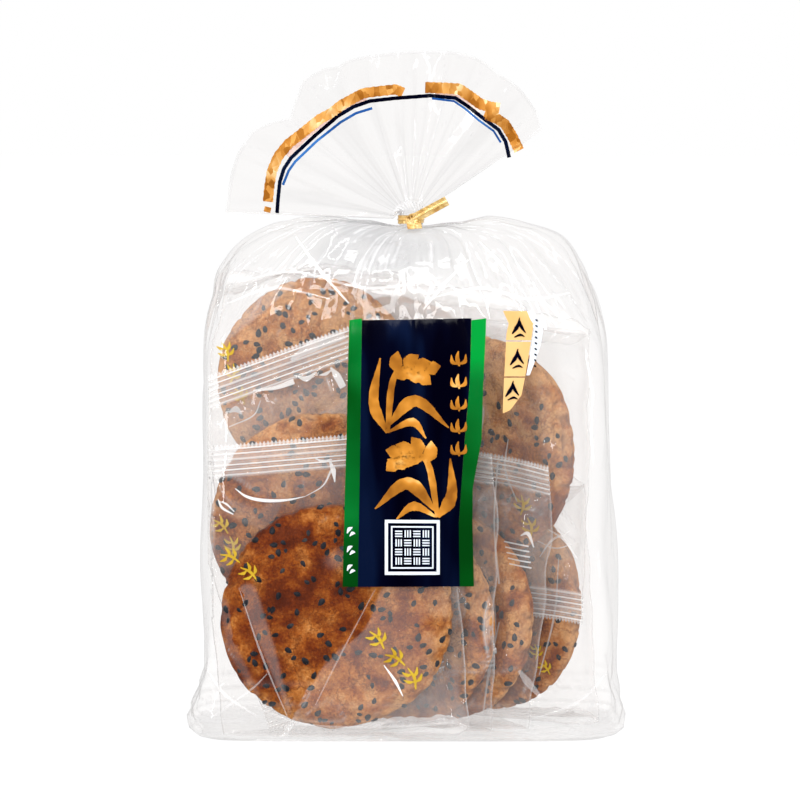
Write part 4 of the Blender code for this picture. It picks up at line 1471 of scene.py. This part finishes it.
# %% Painted glints on folded film
# number of the wrapper, or BAG; corners across and up in mm; widths in mm; how milky, which is the strength of the
# painted glint
BAG = -1
PAINTED_FOLD_GLINTS = [
    (0, [(-64.6, 58.0), (-56.6, 34.0), (-46.6, 9.4)], [0.2, 0.8, 0.4], 0.20),
    (0, [(-10.2, 29.0), (-6.0, 23.0), (-3.1, 17.3)], [0.3, 1.2, 0.3], 0.80),
    (0, [(-13.6, 57.5), (-27.0, 32.0), (-36.0, 14.0)], [0.3, 0.7, 0.4], 0.14),
    (1, [(-66.5, 94.3), (-62.0, 91.2), (-55.1, 89.8), (-47.0, 90.0), (-40.0, 91.4)], [0.2, 1.0, 1.3, 0.9, 0.2], 0.92),
    (1, [(-40.0, 91.4), (-33.4, 95.4), (-30.2, 101.2)], [0.2, 0.5, 0.8], 0.70),
    (1, [(-30.6, 104.4), (-29.4, 101.2), (-28.8, 96.8)], [0.8, 2.0, 0.3], 0.90),
    (1, [(-36.2, 105.6), (-33.0, 104.6), (-30.0, 105.4)], [0.3, 1.1, 0.3], 0.80),
    (1, [(-73.0, 90.2), (-71.4, 87.0), (-67.2, 84.6)], [0.3, 1.0, 0.4], 0.88),
    (1, [(-72.6, 89.4), (-69.8, 88.4), (-66.8, 85.6)], [0.2, 0.8, 0.3], 0.80),
    (2, [(-60.4, 130.0), (-52.0, 131.0), (-44.8, 133.4)], [0.3, 1.5, 2.2], 0.88),
    (2, [(-43.6, 135.4), (-40.0, 134.4), (-36.4, 136.8)], [0.5, 2.2, 0.5], 0.85),
    (2, [(-35.1, 135.8), (-32.6, 136.2), (-30.1, 137.9)], [0.3, 1.3, 0.4], 0.75),
    (2, [(-30.8, 138.6), (-28.4, 135.4), (-26.0, 131.0)], [0.6, 2.8, 2.6], 0.85),
    (2, [(-46.0, 141.6), (-38.0, 146.6), (-25.4, 151.0)], [1.0, 4.6, 3.0], 0.42),
    (2, [(-57.5, 126.2), (-60.4, 120.4), (-69.8, 116.0)], [0.3, 0.5, 0.3], 0.50),
    (2, [(-69.6, 121.6), (-67.0, 122.8), (-64.6, 121.0)], [0.5, 2.6, 0.6], 0.40),
    (4, [(37.0, 112.0), (36.0, 100.0), (40.4, 88.0)], [0.3, 0.9, 0.3], 0.30),
    (4, [(24.0, 132.0), (27.4, 122.0), (26.4, 112.0)], [0.3, 1.4, 0.3], 0.30),
    (6, [(32.9, 104.0), (31.6, 80.0), (33.4, 57.5)], [0.6, 0.6, 0.8], 0.32),
    (6, [(33.5, 42.8), (29.8, 24.0), (27.7, 8.0)], [0.4, 1.0, 0.5], 0.28),
    (6, [(41.4, 76.4), (44.2, 77.2), (46.4, 72.0)], [0.3, 1.5, 0.4], 0.42),
    (6, [(41.0, 24.6), (44.4, 20.0), (49.0, 14.6)], [1.2, 3.0, 1.4], 0.20),
    (5, [(56.6, 66.0), (55.0, 44.0), (49.4, 20.0)], [0.3, 0.8, 0.4], 0.28),
    (5, [(49.5, 66.0), (54.0, 72.5), (61.0, 76.5)], [0.3, 0.9, 0.3], 0.55),
    (5, [(52.0, 77.0), (58.5, 73.0), (63.5, 66.0)], [0.3, 1.0, 0.3], 0.55),
    (5, [(48.5, 72.0), (55.0, 69.6), (62.0, 71.4)], [0.3, 0.6, 0.3], 0.45),
    (BAG, [(-43.8, 189.0), (-34.0, 176.0), (-23.4, 164.4)], [0.4, 1.3, 0.5], 0.45),
    (BAG, [(21.6, 180.3), (13.0, 172.0), (4.6, 162.2)], [0.4, 1.2, 0.4], 0.45),
    (BAG, [(-66.0, 172.0), (-44.0, 176.0), (-16.0, 170.0), (12.0, 174.0)], [0.3, 0.9, 1.1, 0.3], 0.24),
    (BAG, [(-70.0, 164.0), (-52.0, 170.0), (-30.0, 166.0)], [0.3, 1.2, 0.3], 0.24),
    (BAG, [(6.0, 166.0), (26.0, 170.0), (44.0, 166.0), (60.0, 168.0)], [0.3, 1.0, 1.0, 0.3], 0.30),
    (BAG, [(26.0, 187.0), (33.0, 180.0), (39.0, 172.0)], [0.3, 1.2, 0.3], 0.35),
    (BAG, [(-60.0, 14.0), (-40.0, 7.0), (-12.0, 6.0), (16.0, 8.0)], [0.3, 0.9, 0.9, 0.3], 0.16),
    (BAG, [(-78.0, 28.0), (-70.0, 18.0), (-58.0, 10.0)], [0.3, 1.1, 0.4], 0.20),
    (BAG, [(74.0, 26.0), (64.0, 16.0), (46.0, 9.0)], [0.3, 1.0, 0.4], 0.18),
    (BAG, [(-74.0, 10.0), (-60.0, 20.0), (-54.0, 26.0)], [0.3, 0.8, 0.3], 0.16),
]
# painted highlights on the ridges of a crimp that shows between the low crackers
for step in range(5):
    PAINTED_FOLD_GLINTS.append((6, [(35.2 + 0.5 * step, 73.8 - 2.1 * step), (44.4 + 0.3 * step, 72.4 - 2.1 * step)], [0.5, 0.6], 0.40))

# painted highlight: a near-white milky film that stands in for the glints on folds
fold_glint_film = film_material(
    "fold_glint_film", (0.99, 0.987, 0.985), (0.95, 0.95, 0.95), (0.95, 0.95, 0.95), 0.07, 42.0, 0.0007, 0.35
)
film_trees = {BAG: bag_tree}
glint_slivers = []
for number, corners, widths, milk in PAINTED_FOLD_GLINTS:
    if number not in film_trees:
        film_trees[number] = BVHTree.FromObject(wrappers[number], bpy.context.evaluated_depsgraph_get())

    def on_sheet(x, z, tree=film_trees[number]):
        return on_film(x, z, 0.0004, tree)

    glint_sliver = brush_stroke("glint_sliver" + str(len(glint_slivers)), corners, widths, on_sheet, 30)
    # painted highlight: each ribbon's milk is the strength of its painted glint
    store_value(glint_sliver, "haze", np.full(len(glint_sliver.data.vertices), milk))
    glint_slivers.append(glint_sliver)
painted_fold_glints = join_pieces("painted_fold_glints", glint_slivers)
painted_fold_glints.data.materials.append(fold_glint_film)
shade_smooth(painted_fold_glints)
print(len(glint_slivers), "pressed folds")

# %% [markdown]
# ## Print on the wrappers
# Every wrapper carries small mustard-yellow brush marks, drawn here as plain sprigs of rice.
# They are laid on the wrapper's own film, so they tilt and sink with it.

# %% Yellow marks
# the wrapper's place in the list, middle across and up in mm, slope of the row in degrees,
# number of sprigs and their size in mm
YELLOW_ROWS = [
    (0, -5.8, 31.5, -48.0, 3, 8.6),
    (0, -64.2, 66.6, -38.0, 2, 8.0),
    (1, -69.6, 76.4, -62.0, 2, 7.6),
    (2, -68.0, 136.5, -72.0, 3, 7.6),
    (4, 44.0, 82.6, -70.0, 2, 7.8),
    (5, 50.0, 26.0, -60.0, 2, 6.0),
]


def sprig(middle, size, turn):
    """A stem with four short grains, turned about its middle."""
    turning = np.array([[math.cos(turn), math.sin(turn)], [-math.sin(turn), math.cos(turn)]])
    shapes = [
        ([(-0.1, -0.5), (0.05, 0.0), (-0.05, 0.5)], [0.06, 0.15, 0.05]),
        ([(0.0, 0.05), (0.2, 0.14), (0.34, 0.38)], [0.05, 0.17, 0.04]),
        ([(0.0, 0.18), (-0.2, 0.22), (-0.36, 0.42)], [0.05, 0.16, 0.04]),
        ([(0.02, -0.2), (0.24, -0.16), (0.42, 0.02)], [0.05, 0.17, 0.04]),
        ([(-0.04, -0.16), (-0.24, -0.1), (-0.42, 0.08)], [0.05, 0.15, 0.04]),
    ]
    strokes = []
    for corners, widths in shapes:
        placed = np.array(corners) * size @ turning + np.array(middle)
        strokes.append(([tuple(place) for place in placed], [width * size for width in widths]))
    return strokes


yellow_parts = []
for row, (number, middle_x, middle_z, slope, count, size) in enumerate(YELLOW_ROWS):
    film_tree = BVHTree.FromObject(wrappers[number], bpy.context.evaluated_depsgraph_get())
    run = np.array([math.cos(math.radians(slope)), math.sin(math.radians(slope))])
    strokes = []
    for index in range(count):
        place = np.array([middle_x, middle_z]) + run * size * 1.15 * (index - (count - 1) / 2.0)
        strokes += sprig(place, size, math.radians(slope + 90.0 + 25.0 * math.sin(2.0 * index + row)))

    def on_wrapper(x, z, tree=film_tree):
        return on_film(x, z, INK_LIFT, tree)

    yellow_parts.append(drawn("yellow_row" + str(row), strokes, on_wrapper, yellow_ink, 10))
yellow_marks = join_pieces("yellow_marks", yellow_parts)
print("yellow marks", len(yellow_marks.data.polygons), "faces")

# %% [markdown]
# ## Bands round the mouth
# Before the bag was gathered these bands ran straight along its open edge. In the fan each
# stretch between two folds lies at another angle, so the bands look like a broken arc.

# %% Mouth bands
GOLD_BAND_LEFT = [
    (-54.8, 202.0), (-54.2, 208.0), (-53.2, 213.6), (-50.8, 219.2), (-46.8, 224.2), (-42.6, 227.4), (-38.6, 230.6),
    (-34.8, 233.6), (-30.4, 235.9), (-26.5, 239.0), (-22.0, 241.4), (-18.3, 243.4), (-12.0, 244.2), (-5.8, 244.9), (-3.0, 243.6),
]
GOLD_BAND_STUB = [(-55.2, 198.0), (-54.7, 200.0)]
GOLD_BAND_RIGHT = [(5.4, 245.6), (12.0, 245.4), (18.4, 245.0), (22.6, 242.2), (26.4, 239.4), (30.0, 238.2), (33.8, 237.6)]
GOLD_BAND_LOW = [(28.0, 235.6), (33.0, 233.6), (36.0, 231.6), (38.6, 227.4), (41.4, 221.6)]
NAVY_BAND = [
    (-51.3, 197.6), (-50.9, 203.0), (-50.2, 209.6), (-48.6, 214.6), (-45.8, 218.8), (-37.0, 227.0), (-28.1, 234.6),
    (-22.0, 238.2), (-15.8, 240.4), (-6.2, 241.5), (7.3, 242.5), (16.9, 241.6), (21.4, 238.7), (27.4, 234.0),
    (33.5, 229.5), (36.2, 225.0), (37.6, 218.9),
]
LINING_LEFT = [(-47.4, 219.8), (-40.6, 226.6), (-32.6, 233.2), (-25.0, 238.1), (-17.0, 241.4)]
LINING_RIGHT = [(9.0, 243.6), (14.5, 243.0), (20.6, 240.8), (26.6, 236.6)]
BLUE_LEFT = [(-49.0, 208.4), (-46.8, 213.8), (-44.2, 217.4), (-36.0, 225.2), (-27.0, 232.3), (-21.0, 235.8), (-14.8, 237.7)]
BLUE_RIGHT = [(8.0, 241.4), (16.4, 240.4), (20.6, 237.6), (26.0, 233.0), (31.6, 229.0), (34.4, 224.6)]


def under_bands(x, z):
    return on_film(x, z, 0.4 * INK_LIFT)


def straight_band(name, corners, width, ink, steps, lay=on_film):
    piece = brush_stroke(name, corners, [width, width], lay, steps, True, 0.06)
    piece.data.materials.append(ink)
    shade_smooth(piece, 40.0)
    return piece


gold_mouth_band = join_pieces("gold_mouth_band", [
    straight_band("band_left", GOLD_BAND_LEFT, 3.9, band_gold_ink, 90),
    straight_band("band_stub", GOLD_BAND_STUB, 2.6, band_gold_ink, 8),
    straight_band("band_right", GOLD_BAND_RIGHT, 4.2, band_gold_ink, 48),
    straight_band("band_low", GOLD_BAND_LOW, 4.0, band_gold_ink, 36),
])
pale_lining = join_pieces("pale_lining", [
    straight_band("lining_left", LINING_LEFT, 2.2, rose_ink, 60, under_bands),
    straight_band("lining_right", LINING_RIGHT, 1.5, rose_ink, 40, under_bands),
])
navy_mouth_lines = straight_band("navy_mouth_lines", NAVY_BAND, 1.45, navy_ink, 160)
blue_mouth_lines = join_pieces("blue_mouth_lines", [
    straight_band("blue_left", BLUE_LEFT, 1.0, blue_ink, 72),
    straight_band("blue_right", BLUE_RIGHT, 0.8, blue_ink, 60),
])
print("ink pieces laid on the film")

# %% [markdown]
# ## Twist tie
# The tie is a strip of gold foil with a wire inside, which shows as a rib down its middle.
# It goes once round the neck, is twisted, and leaves one long and one short tail.

# %% Tie
TIE_WIDTH = 0.0040
RIB_HEIGHT = 0.00045
FOIL_THICKNESS = 0.00022
KNOT_START = Vector((-0.0012, -0.0054, TIE_HEIGHT))
KNOT_END = Vector((0.0018, -0.0078, TIE_HEIGHT + 0.0004))


def foil_strip(name, start, direction, face, length, twist_turns, width, rise=0.0, steps=56):
    """A strip of ribbed foil that starts at a point, turns about its own line and curls a little."""
    ahead = Vector(direction).normalized()
    side = Vector(face).cross(ahead).normalized()
    normal = ahead.cross(side)
    frame_axes = np.array([ahead, side, normal])

    def shape(u, v):
        across = (v - 0.5) * width
        rib = RIB_HEIGHT * np.exp(-((v - 0.5) / 0.10) ** 2)
        crinkle = 0.00016 * np.sin(u * 41.0 + 7.0 * v) * np.abs(2.0 * v - 1.0)
        turn = math.tau * twist_turns * u
        out = rib + crinkle
        local_side = across * np.cos(turn) - out * np.sin(turn)
        local_up = across * np.sin(turn) + out * np.cos(turn) + rise * u * u
        return np.array(start) + np.stack([u * length, local_side, local_up], axis=-1) @ frame_axes

    return shaped_grid(name, steps, 14, shape)


def foil_band(name, radius, width, steps=96):
    """The turn of foil round the neck, puckered where it is pulled tight."""

    def shape(u, v):
        turn = math.tau * u
        rib = RIB_HEIGHT * np.exp(-((v - 0.5) / 0.10) ** 2)
        pucker = 0.00022 * np.sin(turn * 11.0) * np.abs(2.0 * v - 1.0)
        out = radius + rib + pucker
        tall = TIE_HEIGHT + (v - 0.5) * width * (1.0 - 0.15 * np.cos(turn))
        return np.stack([out * np.cos(turn), out * np.sin(turn), tall], axis=-1)

    piece = shaped_grid(name, steps, 12, shape)
    merge_close_points(piece)
    return piece


tie_parts = [
    foil_band("tie_band", NECK_RADIUS + 0.0006, 0.0028),
    foil_strip("tie_knot", KNOT_START, KNOT_END - KNOT_START, (0, 0, 1), 0.0046, 0.80, 0.0036),
    foil_strip("tie_knot_back", KNOT_START + Vector((0.0006, 0.0004, 0.0006)), KNOT_END - KNOT_START, (0, 0, 1), 0.0044, -0.70, 0.0034),
    foil_strip("tie_long_tail", KNOT_END + Vector((-0.0008, 0.0, 0.0)), (0.86, -0.10, 0.47), (0, -1, 0), 0.0146, 0.03, 0.0037, 0.0007),
    foil_strip("tie_short_tail", KNOT_END + Vector((-0.0010, 0.0004, 0.0)), (0.16, -0.42, -0.88), (0, -1, 0.3), 0.0042, -0.04, 0.0056),
]
for part in tie_parts:
    select_only(part)
    wall = part.modifiers.new("wall", "SOLIDIFY")
    wall.thickness = FOIL_THICKNESS
    wall.offset = -1.0
    bpy.ops.object.modifier_apply(modifier=wall.name)
gold_tie = join_pieces("gold_tie", tie_parts)
shade_smooth(gold_tie, 50.0)

foil, tree = new_material("gold_foil")
spot = add_node(tree, "ShaderNodeTexCoord").outputs["Object"]
tone = noise_node(tree, spot, 420.0, 3.0)
foil_colour = colour_ramp(tree, tone, [(0.35, (0.50, 0.26, 0.07)), (0.5, (0.66, 0.43, 0.14)), (0.68, (0.76, 0.56, 0.26))])
dimple = noise_node(tree, spot, 1500.0, 3.0)
foil_bump = add_node(tree, "ShaderNodeBump", Strength=0.35, Distance=0.0003, Height=dimple)
foil_shader = add_node(tree, "ShaderNodeBsdfPrincipled", Base_Color=foil_colour, Normal=foil_bump.outputs["Normal"])
foil_shader.inputs["Metallic"].default_value = 0.30
foil_shader.inputs["Roughness"].default_value = 0.28
finish_material(tree, foil_shader.outputs[0])
gold_tie.data.materials.append(foil)
print("tie", len(gold_tie.data.polygons), "faces")

# %% [markdown]
# ## Pieces on the body
# Every piece rides on the bag's one body. Where a piece stands for a plain solid, that solid
# is hidden. Each piece is listed with the name of a finish, but nothing here applies it.

# %% Ride on the body
PIECE_SLOTS = [(piece, "toasted_cracker") for piece in crackers]
PIECE_SLOTS += [(piece, "wrapper_film") for piece in wrappers + [painted_fold_glints]]
PIECE_SLOTS += [
    (sesame, "black_sesame"), (bag_film, "clear_film"), (navy_panel, "navy_print"),
    (green_panel, "green_print"), (gold_brush_work, "gold_print"), (white_seal, "white_print"),
    (gold_strip, "gold_print"), (strip_marks, "navy_print"), (white_edge, "white_print"),
    (edge_marks, "navy_print"), (yellow_marks, "yellow_print"), (gold_mouth_band, "gold_print"),
    (pale_lining, "gold_print"),
    (navy_mouth_lines, "navy_print"), (blue_mouth_lines, "navy_print"), (gold_tie, "gold_foil"),
]
for piece, slot in PIECE_SLOTS:
    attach(piece, "root")
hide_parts("bag")
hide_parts("tie")
print(len(PIECE_SLOTS), "pieces")
